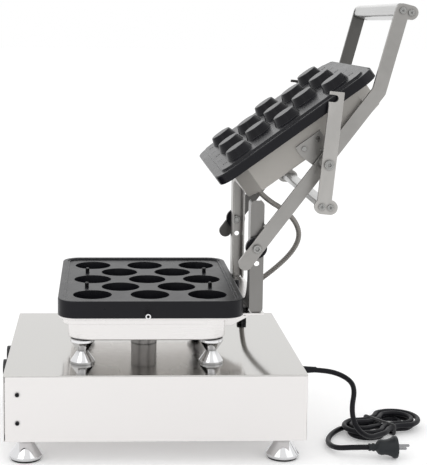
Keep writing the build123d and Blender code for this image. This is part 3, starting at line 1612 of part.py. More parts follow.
# Cord from the cabinet to the hank
hank_entry = at_hank(-hank_half_length - cord_diameter, offsets[0], hank_high_z)
hank_way = hank_plane.x_dir
cord_start = Vector(cord_exit_x, base_back_y + cable_gland_length, cord_exit_z)
tube_along(
    [
        cord_start,
        cord_start + Vector(0.5, 41.6, 0),
        Vector(68.8, 259.7, 108.1),
        Vector(100.4, 274.3, 97.9),
        Vector(131.5, 260.5, 64.5),
        Vector(137.8, 269.6, 34),
        hank_entry - hank_way * 28,
        hank_entry,
    ],
    "cord_run",
)

# Cord from the hank round to the plug
hank_exit = at_hank(-hank_half_length - cord_diameter, -offsets[1], hank_low_z)
plug_z = plug_face / 2 + face_clearance / 2
plug_rear = Vector(plug_x, plug_rear_y, plug_z)
tube_along(
    [
        hank_exit,
        hank_exit - hank_way * 20,
        Vector(92, 232, hank_low_z),
        Vector(128, 222, 6),
        Vector(163, 229, 10),
        plug_rear - Vector(0, 26, 0),
        plug_rear,
    ],
    "cord_tail",
)

# Plug: a turned rubber body with two pins
plug_axis = Axis(plug_rear, (0, 1, 0))
with BuildPart() as plug_body:
    with BuildSketch(Plane(origin=plug_rear, x_dir=(0, 1, 0), z_dir=(0, 0, 1))):
        with BuildLine():
            Polyline(
                (0, 0),
                (0, plug_boot / 2),
                (plug_boot_length, plug_boot / 2 + 1),
                (plug_boot_length + 4, plug_neck / 2),
                (plug_boot_length + plug_length * 0.55, plug_neck / 2 + 1),
                (plug_boot_length + plug_length * 0.8, plug_face / 2),
                (plug_boot_length + plug_length, plug_face / 2),
                (plug_boot_length + plug_length, 0),
                close=True,
            )
        make_face()
    revolve(axis=plug_axis)
    plug_front = Plane(
        origin=plug_rear + Vector(0, plug_boot_length + plug_length, 0),
        x_dir=(math.cos(math.radians(plug_roll)), 0, math.sin(math.radians(plug_roll))),
        z_dir=(0, 1, 0),
    )
    with BuildSketch(plug_front):
        with GridLocations(plug_pin_pitch, 1, 2, 1):
            Circle(plug_pin_diameter / 2 + running_clearance)
    extrude(amount=-plug_length / 2, mode=Mode.SUBTRACT)
plug_body.part.label = "plug_body"
export_step(plug_body.part, "parts/plug_body.step")

with BuildPart() as plug_pins:
    with BuildSketch(plug_front.offset(-plug_length / 2)):
        with GridLocations(plug_pin_pitch, 1, 2, 1):
            Circle(plug_pin_diameter / 2)
    extrude(amount=plug_length / 2 + plug_pin_length)
    pin_tips = plug_pins.faces().group_by(Axis.Y)[-1]
    chamfer(pin_tips.edges(), 1)
plug_pins.part.label = "plug_pins"
export_step(plug_pins.part, "parts/plug_pins.step")
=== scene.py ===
"""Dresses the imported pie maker: metal and cast finishes, conduit, supply cord, plug, stage."""
import math
from bisect import bisect_right

import bpy
from bpy.props import FloatProperty, FloatVectorProperty, PointerProperty
from mathutils import Matrix, Vector


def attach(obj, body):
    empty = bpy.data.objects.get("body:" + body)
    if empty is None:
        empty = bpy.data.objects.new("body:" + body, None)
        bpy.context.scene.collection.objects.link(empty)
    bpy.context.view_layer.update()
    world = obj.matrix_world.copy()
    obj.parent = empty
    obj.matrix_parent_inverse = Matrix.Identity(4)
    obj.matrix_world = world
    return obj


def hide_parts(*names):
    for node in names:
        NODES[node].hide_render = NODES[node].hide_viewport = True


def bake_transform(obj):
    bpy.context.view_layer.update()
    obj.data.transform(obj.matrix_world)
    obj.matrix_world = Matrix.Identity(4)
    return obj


bl_info = {
    "name": "Pie maker dresser",
    "version": (1, 0, 0),
    "blender": (4, 5, 0),
    "location": "View3D > Sidebar > Pie maker",
    "description": "Finishes, cord, plug and stage for the packed pie maker",
    "category": "Object",
}

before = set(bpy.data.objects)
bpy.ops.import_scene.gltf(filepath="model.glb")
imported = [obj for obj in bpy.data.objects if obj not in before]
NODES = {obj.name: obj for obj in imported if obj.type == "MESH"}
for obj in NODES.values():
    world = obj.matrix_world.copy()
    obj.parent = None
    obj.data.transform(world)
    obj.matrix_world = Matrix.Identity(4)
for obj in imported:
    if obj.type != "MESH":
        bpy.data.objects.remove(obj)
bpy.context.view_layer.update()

# Routes of the supply cord and the conduit, in metres, the same points as in the part's source
CORD_EXIT = (0.06, 0.1834, 0.116)
RUN_POINTS = (
    CORD_EXIT,
    (0.0605, 0.225, 0.116),
    (0.0688, 0.2597, 0.1081),
    (0.1004, 0.2743, 0.0979),
    (0.1315, 0.2605, 0.0645),
    (0.1378, 0.2696, 0.034),
)
TAIL_POINTS = (
    (0.092, 0.232, 0.00585),
    (0.128, 0.222, 0.006),
    (0.163, 0.229, 0.01),
    (0.184, 0.254, 0.01915),
    (0.184, 0.28, 0.01915),
)
PLUG_REAR = Vector(TAIL_POINTS[-1])
CONDUIT_ROUTE = (
    (-0.135, 0.102, 0.14),
    (-0.135, 0.102, 0.194),
    (-0.127, 0.126, 0.23),
    (-0.116, 0.163, 0.262),
    (-0.106, 0.192, 0.294),
    (-0.097, 0.205, 0.325),
    (-0.088, 0.196, 0.355),
    (-0.075, 0.17, 0.381),
    (-0.06, 0.139, 0.4),
    (-0.045, 0.1104, 0.4272),
    (-0.045, 0.077, 0.4734),
)
CONDUIT_RIBS = 103

# The hank: its middle, its turn, the places of its runs and the heights of its two layers
HANK_CENTRE = Vector((0.05, 0.331, 0.0))
HANK_ANGLE = math.radians(126)
HANK_HALF = 0.04
HANK_WAIST = 0.012
HANK_OUTER = 0.043
HANK_PITCH = 0.0117
HANK_LOW = 0.00585
HANK_HIGH = 0.01555
# Where the cord comes in and goes out, and how far it has sunk at each end of its change of layer
HANK_OVERRUN = 0.009
HANK_LEAD_IN = 0.028
HANK_LEAD_OUT = 0.02
HANK_SINK = 0.0012
# A run's points: share of the half length along, and share of the waist drawn in
HANK_RUN = ((-0.8, 0.0), (-0.4, 0.85), (0.0, 1.06), (0.4, 0.85), (0.8, 0.0))
# Control points of a half turn lie this much outside it
HANK_SWELL = 1.012
HANK_TURN_STEPS = 6

# The tie: its width, its distance from the cord's middle line, and its thicknesses
TIE_WIDTH = 0.0084
TIE_OFF = 0.0054
TIE_FLOOR_GAP = 0.0006
TIE_CORNER = 0.0048
TIE_WALL = 0.0011
TIE_RIM = 0.0003

# Splines: their order, points per stretch, and facets of a quarter of the cord
SPLINE_ORDER = 3
CORD_STEPS = 8
CORD_FACETS = 5
ROUTE_STEPS = 24

# The conduit: sides, the root's share of the crest, and each stretch's share of a rib's pitch
HOSE_SIDES = 18
RIB_ROOT = 0.86
RIB_VALLEY = 0.16
RIB_SLOPE = 0.2
RIB_CREST = 0.44
RIB_MERGE = 0.00002

# Finishes: height of the grain, lift of the painted edge highlight's colour, and the painted
# corner shade's share of it
RELIEF_DEPTH = 0.0004
EDGE_HIGHLIGHT_LIFT = 1.25
CORNER_SHADE_SHARE = 0.06
# The Mix node's two colour inputs and its colour output
MIX_FIRST = 6
MIX_SECOND = 7
MIX_RESULT = 2
# Of each bar, post and lug: share of the bars' colour, which paints it lighter or darker as light
# and shade fall on it (the far arm as painted shadow, the near post as painted reflection), and
# scale of its grain
BAR_PAINTED_LIGHT_AND_GRAIN = {
    "right_arm": (0.88, (30.0, 60.0, 60.0)),
    "left_arm": (0.3, (30.0, 60.0, 60.0)),
    "right_latch_lever": (1.12, (30.0, 90.0, 40.0)),
    "left_latch_lever": (0.8, (30.0, 90.0, 40.0)),
    "head_lugs": (0.86, (30.0, 60.0, 60.0)),
    "right_post": (0.62, (90.0, 90.0, 6.0)),
    "left_post": (1.05, (90.0, 90.0, 6.0)),
}

# The studio: floor, colours of the sky from below to above, and lamps with their size and share
FLOOR_SIZE = 60.0
FLOOR_DROP = 0.0005
PAPER_GREY = 0.86
SKY_BANDS = (
    (0.0, (0.80, 0.80, 0.81)),
    (0.48, (0.62, 0.62, 0.6231)),
    (0.62, (0.86, 0.86, 0.8643)),
    (1.0, (1.0, 1.0, 1.0)),
)
LAMPS = (
    ("Key lamp", (1.6, -1.6, 2.2), 1.6, 1.0),
    ("Fill lamp", (1.2, 1.8, 1.6), 1.8, 0.55),
    ("Back lamp", (-2.0, 0.2, 2.0), 1.8, 0.6),
)
LAMP_AIM = Vector((0.0, 0.0, 0.3))
# The camera: lens and sensor in millimetres, shift in picture widths, place in metres
CAMERA_LENS = 90.9
CAMERA_SENSOR = 36.0
CAMERA_SHIFT = (0.1595, -0.1292)
CAMERA_FAR = 80.0
CAMERA_PLACE = (2.0652, -0.1734, 0.7235)
CAMERA_YAW, CAMERA_PITCH, CAMERA_ROLL = (math.radians(turn) for turn in (2.0, 7.282, 0.392))


def rgb_property(name, text, colour):
    """A colour property in the panel."""
    return FloatVectorProperty(
        name=name, description=text, subtype="COLOR", size=3, min=0.0, max=1.0, default=colour
    )


class FinishSettings(bpy.types.PropertyGroup):
    """Colours and roughness of the machine's surfaces."""

    cabinet: rgb_property("Cabinet", "Satin steel of the cabinet", (0.82, 0.80, 0.79))
    cover: rgb_property("Cover", "Polished steel of the cabinet's cover", (0.62, 0.61, 0.59))
    bars: rgb_property("Bars", "Steel of arms, levers and posts", (0.42, 0.41, 0.395))
    housing: rgb_property("Housings", "Steel of the housings", (0.46, 0.44, 0.41))
    casting: rgb_property("Castings", "Non-stick coat of the plates", (0.008, 0.008, 0.011))
    cord: rgb_property("Cord", "Rubber of the supply cord", (0.005, 0.005, 0.008))
    edge: FloatProperty(
        name="Edge softness",
        description="Radius of the softened edges in the shading",
        default=0.0008,
        unit="LENGTH",
    )


class CordSettings(bpy.types.PropertyGroup):
    """Sizes of the supply cord."""

    diameter: FloatProperty(
        name="Diameter", description="Diameter of the supply cord", default=0.009, unit="LENGTH"
    )
    boot: FloatProperty(
        name="Boot length", description="Length of the strain relief", default=0.03, unit="LENGTH"
    )
    conduit: FloatProperty(
        name="Conduit diameter", description="Diameter of the metal hose", default=0.01,
        unit="LENGTH",
    )


class StageSettings(bpy.types.PropertyGroup):
    """Light levels of the studio."""

    sky: FloatProperty(name="Sky", description="Level of the surrounding light", default=1.0)
    lamp: FloatProperty(
        name="Lamp", description="Power of the main lamp", default=7.0, unit="POWER"
    )
    paper: FloatProperty(
        name="Paper", description="White of the floor where it is seen", default=0.24
    )


def settings(name):
    """The scene's settings of that name."""
    return getattr(bpy.context.scene, name)


# Shader node groups and materials


def new_group(name, inputs, outputs):
    """An empty shader node group with those sockets; returns it with its end nodes."""
    group = bpy.data.node_groups.new(name, "ShaderNodeTree")
    for socket_name, kind, default in inputs:
        socket = group.interface.new_socket(socket_name, in_out="INPUT", socket_type=kind)
        if default is not None:
            socket.default_value = default
    for socket_name, kind in outputs:
        group.interface.new_socket(socket_name, in_out="OUTPUT", socket_type=kind)
    entry = group.nodes.new("NodeGroupInput")
    leave = group.nodes.new("NodeGroupOutput")
    return group, entry, leave


def math_node(tree, operation, first, second, clamp=False):
    """A Math node fed by sockets or numbers; returns its output."""
    node = tree.nodes.new("ShaderNodeMath")
    node.operation = operation
    node.use_clamp = clamp
    for socket, value in zip(node.inputs, (first, second)):
        if isinstance(value, (int, float)):
            socket.default_value = value
        else:
            tree.links.new(value, socket)
    return node.outputs[0]


def colour_mix(tree, factor, first, second):
    """A Mix node between two colours, each a socket or a tuple; returns its output."""
    node = tree.nodes.new("ShaderNodeMix")
    node.data_type = "RGBA"
    tree.links.new(factor, node.inputs["Factor"])
    for index, value in ((MIX_FIRST, first), (MIX_SECOND, second)):
        if isinstance(value, tuple):
            node.inputs[index].default_value = (*value, 1.0)
        else:
            tree.links.new(value, node.inputs[index])
    return node.outputs[MIX_RESULT]


def shaded(colour, share):
    """The colour at that share of its level."""
    return tuple(share * part for part in colour)


def worn_surface_group():
    """Grain along one direction, broad patches and fine pits, as colour, roughness and height."""
    group, entry, leave = new_group(
        "Worn surface",
        (
            ("Grain Vector", "NodeSocketVector", None),
            ("Position", "NodeSocketVector", None),
            ("Light Color", "NodeSocketColor", (0.8, 0.8, 0.8, 1.0)),
            ("Dark Color", "NodeSocketColor", (0.5, 0.5, 0.5, 1.0)),
            ("Grain", "NodeSocketFloat", 0.2),
            ("Patch Scale", "NodeSocketFloat", 4.0),
            ("Patches", "NodeSocketFloat", 0.2),
            ("Roughness", "NodeSocketFloat", 0.3),
            ("Roughness Swing", "NodeSocketFloat", 0.1),
            ("Pit Scale", "NodeSocketFloat", 600.0),
            ("Pits", "NodeSocketFloat", 0.0),
        ),
        (
            ("Color", "NodeSocketColor"),
            ("Roughness", "NodeSocketFloat"),
            ("Height", "NodeSocketFloat"),
        ),
    )
    link = group.links.new

    def noise(vector, scale, detail):
        node = group.nodes.new("ShaderNodeTexNoise")
        node.inputs["Detail"].default_value = detail
        link(vector, node.inputs["Vector"])
        if isinstance(scale, (int, float)):
            node.inputs["Scale"].default_value = scale
        else:
            link(scale, node.inputs["Scale"])
        return math_node(group, "SUBTRACT", node.outputs["Fac"], 0.5)

    grain = noise(entry.outputs["Grain Vector"], 1.0, 4.0)
    patch = noise(entry.outputs["Position"], entry.outputs["Patch Scale"], 3.0)
    pits = noise(entry.outputs["Position"], entry.outputs["Pit Scale"], 2.0)
    grain_part = math_node(group, "MULTIPLY", grain, entry.outputs["Grain"])
    patch_part = math_node(group, "MULTIPLY", patch, entry.outputs["Patches"])
    pit_part = math_node(group, "MULTIPLY", pits, entry.outputs["Pits"])
    spread = math_node(group, "ADD", grain_part, patch_part)
    shade = math_node(group, "ADD", math_node(group, "MULTIPLY", spread, 2.0), 0.5, clamp=True)
    tint = colour_mix(group, shade, entry.outputs["Dark Color"], entry.outputs["Light Color"])
    link(tint, leave.inputs["Color"])
    swing = math_node(group, "ADD", grain, patch)
    swung = math_node(group, "MULTIPLY", swing, entry.outputs["Roughness Swing"])
    link(
        math_node(group, "ADD", entry.outputs["Roughness"], swung, clamp=True),
        leave.inputs["Roughness"],
    )
    link(math_node(group, "ADD", grain_part, pit_part), leave.inputs["Height"])
    return group


def edge_light_group():
    """Softened edges as a normal, with masks for the painted highlight on bent edges and for the
    painted shade in corners.
    """
    group, entry, leave = new_group(
        "Edge softening and painted light",
        (
            ("Radius", "NodeSocketFloat", 0.0008),
            ("Highlight Gain", "NodeSocketFloat", 2.0),
            ("Reach", "NodeSocketFloat", 0.003),
        ),
        (
            ("Normal", "NodeSocketVector"),
            ("Painted Highlight", "NodeSocketFloat"),
            ("Open", "NodeSocketFloat"),
        ),
    )
    link = group.links.new
    soft = group.nodes.new("ShaderNodeBevel")
    soft.samples = 4
    link(entry.outputs["Radius"], soft.inputs["Radius"])
    shape = group.nodes.new("ShaderNodeNewGeometry")
    bent = group.nodes.new("ShaderNodeVectorMath")
    bent.operation = "DOT_PRODUCT"
    link(soft.outputs["Normal"], bent.inputs[0])
    link(shape.outputs["Normal"], bent.inputs[1])
    # Bent edges give the mask of the painted highlight
    turned_away = math_node(group, "SUBTRACT", 1.0, bent.outputs["Value"])
    link(
        math_node(group, "MULTIPLY", turned_away, entry.outputs["Highlight Gain"], clamp=True),
        leave.inputs["Painted Highlight"],
    )
    # Ambient occlusion gives the mask of the painted shade in corners
    corner = group.nodes.new("ShaderNodeAmbientOcclusion")
    corner.samples = 4
    link(entry.outputs["Reach"], corner.inputs["Distance"])
    link(corner.outputs["AO"], leave.inputs["Open"])
    link(soft.outputs["Normal"], leave.inputs["Normal"])
    return group


def finish(
    name,
    colour,
    dark=0.8,
    metallic=1.0,
    roughness=0.3,
    swing=0.15,
    grain=0.25,
    stretch=(12.0, 700.0, 700.0),
    patches=0.25,
    patch_scale=5.0,
    pits=0.0,
    pit_scale=700.0,
    bump=0.15,
    specular=0.5,
    coat=0.0,
    edge_highlight_colour=None,
    edge_highlight_gain=2.0,
    corner_shade=0.0,
    reach=0.003,
):
    """A finish of worn surface, softened edges, painted edge highlight and painted corner shade on
    the
    Principled shader.

    dark is the dark patches' share of the colour, swing how far the roughness wanders, stretch the
    grain's scale along each axis, the edge highlight gain how soon a bent edge takes the painted
    highlight colour, and the corner shade how much painted shade darkens corners closer than
    reach.
    """
    material = bpy.data.materials.new(name)
    material.use_nodes = True
    tree = material.node_tree
    link = tree.links.new
    shader = tree.nodes["Principled BSDF"]
    shader.inputs["Metallic"].default_value = metallic
    shader.inputs["Specular IOR Level"].default_value = specular
    shader.inputs["Coat Weight"].default_value = coat
    place = tree.nodes.new("ShaderNodeTexCoord").outputs["Object"]
    mapping = tree.nodes.new("ShaderNodeMapping")
    mapping.inputs["Scale"].default_value = stretch
    link(place, mapping.inputs["Vector"])
    surface = tree.nodes.new("ShaderNodeGroup")
    surface.node_tree = bpy.data.node_groups["Worn surface"]
    link(mapping.outputs["Vector"], surface.inputs["Grain Vector"])
    link(place, surface.inputs["Position"])
    values = {
        "Light Color": (*colour, 1.0),
        "Dark Color": (*shaded(colour, dark), 1.0),
        "Grain": grain,
        "Patch Scale": patch_scale,
        "Patches": patches,
        "Roughness": roughness,
        "Roughness Swing": swing,
        "Pit Scale": pit_scale,
        "Pits": pits,
    }
    for socket, value in values.items():
        surface.inputs[socket].default_value = value
    edges = tree.nodes.new("ShaderNodeGroup")
    edges.node_tree = bpy.data.node_groups["Edge softening and painted light"]
    edges.inputs["Radius"].default_value = settings("pie_maker_finish").edge
    edges.inputs["Highlight Gain"].default_value = edge_highlight_gain
    edges.inputs["Reach"].default_value = reach
    # Bent edges take a lighter colour, a painted highlight
    edge_highlight_colour = edge_highlight_colour or tuple(min(1.0, EDGE_HIGHLIGHT_LIFT * part) for part in colour)
    colour_with_painted_light = colour_mix(tree, edges.outputs["Painted Highlight"], surface.outputs["Color"], edge_highlight_colour)
    # Corners closer than reach darken towards a small share of the colour, painted shade
    if corner_shade:
        closed = math_node(tree, "SUBTRACT", 1.0, edges.outputs["Open"])
        cover = math_node(tree, "MULTIPLY", closed, corner_shade, clamp=True)
        colour_with_painted_light = colour_mix(tree, cover, colour_with_painted_light, shaded(colour, CORNER_SHADE_SHARE))
    relief = tree.nodes.new("ShaderNodeBump")
    relief.inputs["Strength"].default_value = bump
    relief.inputs["Distance"].default_value = RELIEF_DEPTH
    link(colour_with_painted_light, shader.inputs["Base Color"])
    link(surface.outputs["Roughness"], shader.inputs["Roughness"])
    link(surface.outputs["Height"], relief.inputs["Height"])
    link(edges.outputs["Normal"], relief.inputs["Normal"])
    link(relief.outputs["Normal"], shader.inputs["Normal"])
    return material


def dress(material, *names):
    """Gives the CAD nodes of those names that finish."""
    for name in names:
        slots = NODES[name].material_slots
        if not slots:
            NODES[name].data.materials.append(material)
        for slot in slots:
            slot.material = material


def settle(piece, body, material):
    """Puts a finished piece on a body and its finish."""
    piece.data.materials.clear()
    piece.data.materials.append(material)
    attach(piece, body)
    return piece


def deselect():
    """Leaves nothing selected."""
    for thing in bpy.context.selected_objects:
        thing.select_set(False)


class PIE_MAKER_OT_cabinet(bpy.types.Operator):
    """Dresses the cabinet's sheets, the bench plate with its brackets, and the wire duct"""

    bl_idname = "pie_maker.cabinet"
    bl_label = "Cabinet"

    def execute(self, context):
        look = settings("pie_maker_finish")
        # The sheets darken with painted shade in corners and seams
        cabinet = finish(
            "Satin cabinet steel", look.cabinet, dark=0.93, roughness=0.38, grain=0.2,
            stretch=(40.0, 10.0, 900.0), patches=0.3, patch_scale=3.0, bump=0.05, corner_shade=0.9,
            reach=0.004,
        )
        dress(cabinet, "base_shell", "front_panel", "base_bottom")
        # The cover takes a near-white painted highlight on its edges and painted shade in its
        # corners
        cover = finish(
            "Polished cover steel", look.cover, dark=0.95, roughness=0.09, swing=0.05,
            grain=0.1, stretch=(8.0, 500.0, 500.0), patches=0.3, patch_scale=2.5, bump=0.02,
            edge_highlight_colour=(0.95, 0.95, 0.94), corner_shade=0.9,
        )
        dress(cover, "base_cover")
        sheet = finish(
            "Bench steel", look.cabinet, dark=0.9, roughness=0.3, grain=0.2,
            stretch=(8.0, 500.0, 500.0), bump=0.05, corner_shade=0.9,
        )
        dress(sheet, "bench_plate", "rear_brackets")
        dress(
            finish(
                "Duct steel", shaded(look.cabinet, 0.5), dark=0.8, roughness=0.34,
                stretch=(200.0, 200.0, 12.0), patches=0.5, patch_scale=18.0, bump=0.08, corner_shade=1.0,
            ),
            "wire_duct",
        )
        return {"FINISHED"}


class PIE_MAKER_OT_housings(bpy.types.Operator):
    """Dresses the housings under the lower plate and over the upper plate"""

    bl_idname = "pie_maker.housings"
    bl_label = "Housings"

    def execute(self, context):
        look = settings("pie_maker_finish")
        # The upper housing takes a near-white painted highlight on its edges
        dress(
            finish(
                "Housing steel", look.housing, dark=0.84, metallic=0.3, roughness=0.38, grain=0.22,
                stretch=(10.0, 10.0, 800.0), patches=0.5, patch_scale=6.0, bump=0.05,
                edge_highlight_colour=(0.9, 0.9, 0.88), edge_highlight_gain=3.0,
            ),
            "upper_housing",
        )
        dress(
            finish(
                "Bright housing steel", look.cabinet, dark=0.9, roughness=0.26, grain=0.2,
                stretch=(10.0, 10.0, 800.0), patches=0.4, patch_scale=6.0, bump=0.05,
            ),
            "lower_housing",
        )
        return {"FINISHED"}


class PIE_MAKER_OT_bars(bpy.types.Operator):
    """Dresses the posts, arms, lugs and latch levers, each in a copy of one steel made lighter or
    darker as painted light and shade
    """

    bl_idname = "pie_maker.bars"
    bl_label = "Bars"

    def execute(self, context):
        look = settings("pie_maker_finish")
        for node, (share, stretch) in BAR_PAINTED_LIGHT_AND_GRAIN.items():
            # Each part's share paints light and shade into the one bar colour, and its edges take
            # a painted highlight
            bar = finish(
                f"Drawn steel {node}", shaded(look.bars, share), dark=0.78, roughness=0.34,
                grain=0.35, stretch=stretch, patches=0.6, patch_scale=10.0, bump=0.1,
                pits=0.1, pit_scale=350.0, edge_highlight_colour=shaded(look.bars, 1.9 * share ** 0.5),
                edge_highlight_gain=3.0, corner_shade=1.0, reach=0.004,
            )
            dress(bar, node)
        return {"FINISHED"}


class PIE_MAKER_OT_hardware(bpy.types.Operator):
    """Dresses the turned parts, screws and bolts, the handle bars and the heaters"""

    bl_idname = "pie_maker.hardware"
    bl_label = "Hardware"

    def execute(self, context):
        # Chrome darkens with painted shade up to 12 mm from a neighbouring part
        chrome = finish(
            "Chrome", (0.78, 0.78, 0.79), dark=0.9, roughness=0.05, swing=0.04, grain=0.05,
            stretch=(200.0, 200.0, 200.0), patches=0.1, bump=0.0, corner_shade=1.0, reach=0.012,
        )
        dress(chrome, "feet", "support_spools", "catch_pins")
        # Zinc takes a near-white painted highlight on its edges and painted shade in its corners,
        # a dark ring round each head
        zinc = finish(
            "Zinc plate", (0.36, 0.36, 0.35), dark=0.7, roughness=0.22, grain=0.2,
            stretch=(300.0, 300.0, 300.0), patches=0.3, patch_scale=60.0, bump=0.05,
            edge_highlight_colour=(0.9, 0.9, 0.9), edge_highlight_gain=3.0, corner_shade=1.0, reach=0.003,
        )
        dress(
            zinc, "pivot_bolts", "handle_screws", "lug_screws", "head_bushes", "head_bolts",
            "latch_spacers", "latch_screws", "upper_knob_shaft", "lower_knob_shaft",
        )
        # Blackened steel takes a grey painted highlight on its edges
        dress(
            finish(
                "Blackened steel", (0.02, 0.02, 0.022), dark=0.6, roughness=0.35, pits=0.3,
                bump=0.1, edge_highlight_colour=(0.5, 0.5, 0.5), edge_highlight_gain=2.5,
            ),
            "panel_screws", "post_bolts", "locating_pins", "pivot_bosses", "head_gland",
            "base_gland",
        )
        # The alloy darkens with painted shade in its corners
        alloy = finish(
            "Satin alloy", (0.56, 0.56, 0.555), dark=0.88, roughness=0.3, grain=0.25,
            stretch=(6.0, 500.0, 500.0), patches=0.2, patch_scale=14.0, bump=0.08, corner_shade=0.8,
        )
        dress(alloy, "handle_bar", "latch_bar")
        dress(
            finish("Heater sheath", (0.30, 0.27, 0.25), roughness=0.5, pits=0.3),
            "upper_heater", "lower_heater",
        )
        return {"FINISHED"}


class PIE_MAKER_OT_castings(bpy.types.Operator):
    """Dresses the coated plates"""

    bl_idname = "pie_maker.castings"
    bl_label = "Castings"

    def execute(self, context):
        look = settings("pie_maker_finish")
        for name, nodes, roughness in (
            ("Non-stick coat, lower plate", ("lower_plate", "probe_cap"), 0.3),
            ("Non-stick coat, upper plate", ("upper_plate",), 0.26),
        ):
            # The coat takes a grey painted highlight along its edges and rims
            coat = finish(
                name, look.casting, dark=0.6, metallic=0.0, roughness=roughness, swing=0.1,
                grain=0.1, stretch=(60.0, 60.0, 60.0), patches=0.5, patch_scale=16.0, pits=0.3,
                pit_scale=900.0, bump=0.08, specular=0.2, edge_highlight_colour=(0.2, 0.2, 0.21), edge_highlight_gain=2.2,
            )
            dress(coat, *nodes)
        return {"FINISHED"}


class PIE_MAKER_OT_fittings(bpy.types.Operator):
    """Dresses the controls, pads, gaskets and hidden electrical parts"""

    bl_idname = "pie_maker.fittings"
    bl_label = "Fittings"

    def execute(self, context):
        plastic = finish(
            "Moulded black plastic", (0.018, 0.018, 0.02), metallic=0.0, roughness=0.42,
            grain=0.0, patches=0.3, patch_scale=40.0, pits=0.8, pit_scale=1500.0, bump=0.15,
        )
        dress(
            plastic, "upper_knob", "lower_knob", "dial_rings", "switch_housing", "cable_gland"
        )
        dress(
            finish(
                "Rubber pad", (0.012, 0.012, 0.012), metallic=0.0, roughness=0.8, grain=0.0,
                pits=1.0, pit_scale=1200.0, bump=0.2, specular=0.3,
            ),
            "foot_pads",
        )
        dress(
            finish(
                "Ceramic", (0.72, 0.70, 0.64), metallic=0.0, roughness=0.55, grain=0.0,
                pits=0.3, bump=0.1,
            ),
            "terminal_block", "thermostats",
        )
        dress(
            finish(
                "Mineral wool", (0.55, 0.50, 0.36), dark=0.6, metallic=0.0, roughness=0.95,
                grain=0.8, stretch=(120.0, 120.0, 500.0), patches=0.4, bump=0.6, specular=0.1,
            ),
            "lower_insulation", "upper_insulation",
        )
        dress(
            finish(
                "Amber lens", (0.62, 0.14, 0.02), metallic=0.0, roughness=0.12, grain=0.1,
                stretch=(900.0, 900.0, 900.0), patches=0.2, bump=0.1, coat=0.4,
            ),
            "indicator_lamps",
        )
        dress(
            finish(
                "Green rocker", (0.02, 0.19, 0.05), metallic=0.0, roughness=0.22, grain=0.0,
                patches=0.2, patch_scale=40.0, bump=0.0, coat=0.3,
            ),
            "rocker",
        )
        return {"FINISHED"}


# Cord and conduit


def spline_object(name, points, radius):
    """A round cord on one open NURBS spline through those control points."""
    curve = bpy.data.curves.new(name, "CURVE")
    curve.dimensions = "3D"
    curve.bevel_depth = radius
    curve.bevel_resolution = CORD_FACETS
    curve.resolution_u = CORD_STEPS
    curve.use_fill_caps = True
    spline = curve.splines.new("NURBS")
    spline.points.add(len(points) - 1)
    for point, place in zip(spline.points, points):
        point.co = (*place, 1.0)
    spline.order_u = SPLINE_ORDER
    spline.use_endpoint_u = True
    thing = bpy.data.objects.new(name, curve)
    bpy.context.scene.collection.objects.link(thing)
    return thing


def at_hank(along, across, height):
    """The point that far along and across the hank."""
    way = Vector((math.cos(HANK_ANGLE), math.sin(HANK_ANGLE), 0))
    side = Vector((math.sin(HANK_ANGLE), -math.cos(HANK_ANGLE), 0))
    return HANK_CENTRE + along * way + across * side + Vector((0, 0, height))


def hank_side(way, side, offset, height):
    """Control points of one run along the hank, drawn in at the waist."""
    return [
        at_hank(way * along * HANK_HALF, side * (offset - drawn * HANK_WAIST), height)
        for along, drawn in HANK_RUN
    ]


def hank_cap(end, side, first, second, height):
    """Control points of one half turn at an end of the hank."""
    radius = (first + second) / 2
    middle = side * (first - second) / 2
    turn = []
    for step in range(HANK_TURN_STEPS + 1):
        angle = math.pi * step / HANK_TURN_STEPS
        turn.append(
            at_hank(
                end * (HANK_HALF + HANK_SWELL * radius * math.sin(angle)),
                middle + side * HANK_SWELL * radius * math.cos(angle),
                height,
            )
        )
    return turn


def hank_points():
    """Control points of the whole hank, from the cabinet's end to the plug's end."""
    offsets = [HANK_OUTER - index * HANK_PITCH / 2 for index in range(4)]
    inner = offsets[2] - HANK_WAIST - HANK_PITCH
    middle = (HANK_LOW + HANK_HIGH) / 2
    points = [at_hank(-HANK_HALF - HANK_OVERRUN, offsets[0], HANK_HIGH)]
    points += hank_side(1, 1, offsets[0], HANK_HIGH)
    points += hank_cap(1, 1, offsets[0], offsets[1], HANK_HIGH)
    points += hank_side(-1, -1, offsets[1], HANK_HIGH)
    points += hank_cap(-1, -1, offsets[1], offsets[2], HANK_HIGH)
    points += hank_side(1, 1, offsets[2], HANK_HIGH)
    points += hank_cap(1, 1, offsets[2], offsets[3], HANK_HIGH)
    points += hank_side(-1, -1, offsets[3], HANK_HIGH)
    points += hank_cap(-1, -1, offsets[3], inner, HANK_HIGH)
    points += [
        at_hank(-0.5 * HANK_HALF, inner, HANK_HIGH - HANK_SINK),
        at_hank(0.0, inner, middle),
        at_hank(0.5 * HANK_HALF, inner, HANK_LOW + HANK_SINK),
    ]
    points += hank_cap(1, 1, inner, offsets[3], HANK_LOW)
    points += hank_side(-1, -1, offsets[3], HANK_LOW)
    points += hank_cap(-1, -1, offsets[3], offsets[2], HANK_LOW)
    points += hank_side(1, 1, offsets[2], HANK_LOW)
    points += hank_cap(1, 1, offsets[2], offsets[1], HANK_LOW)
    points += hank_side(-1, -1, offsets[1], HANK_LOW)
    points.append(at_hank(-HANK_HALF - HANK_OVERRUN, -offsets[1], HANK_LOW))
    return points


def curve_line(thing):
    """The points of a curve object's own line."""
    bare = thing.data.copy()
    bare.bevel_depth = 0.0
    holder = bpy.data.objects.new("measure", bare)
    bpy.context.scene.collection.objects.link(holder)
    bpy.context.view_layer.update()
    mesh = bpy.data.meshes.new_from_object(holder)
    points = [vertex.co.copy() for vertex in mesh.vertices]
    bpy.data.objects.remove(holder)
    bpy.data.curves.remove(bare)
    bpy.data.meshes.remove(mesh)
    return points


def line_length(points):
    """The length of the line through those points."""
    return sum((second - first).length for first, second in zip(points, points[1:]))


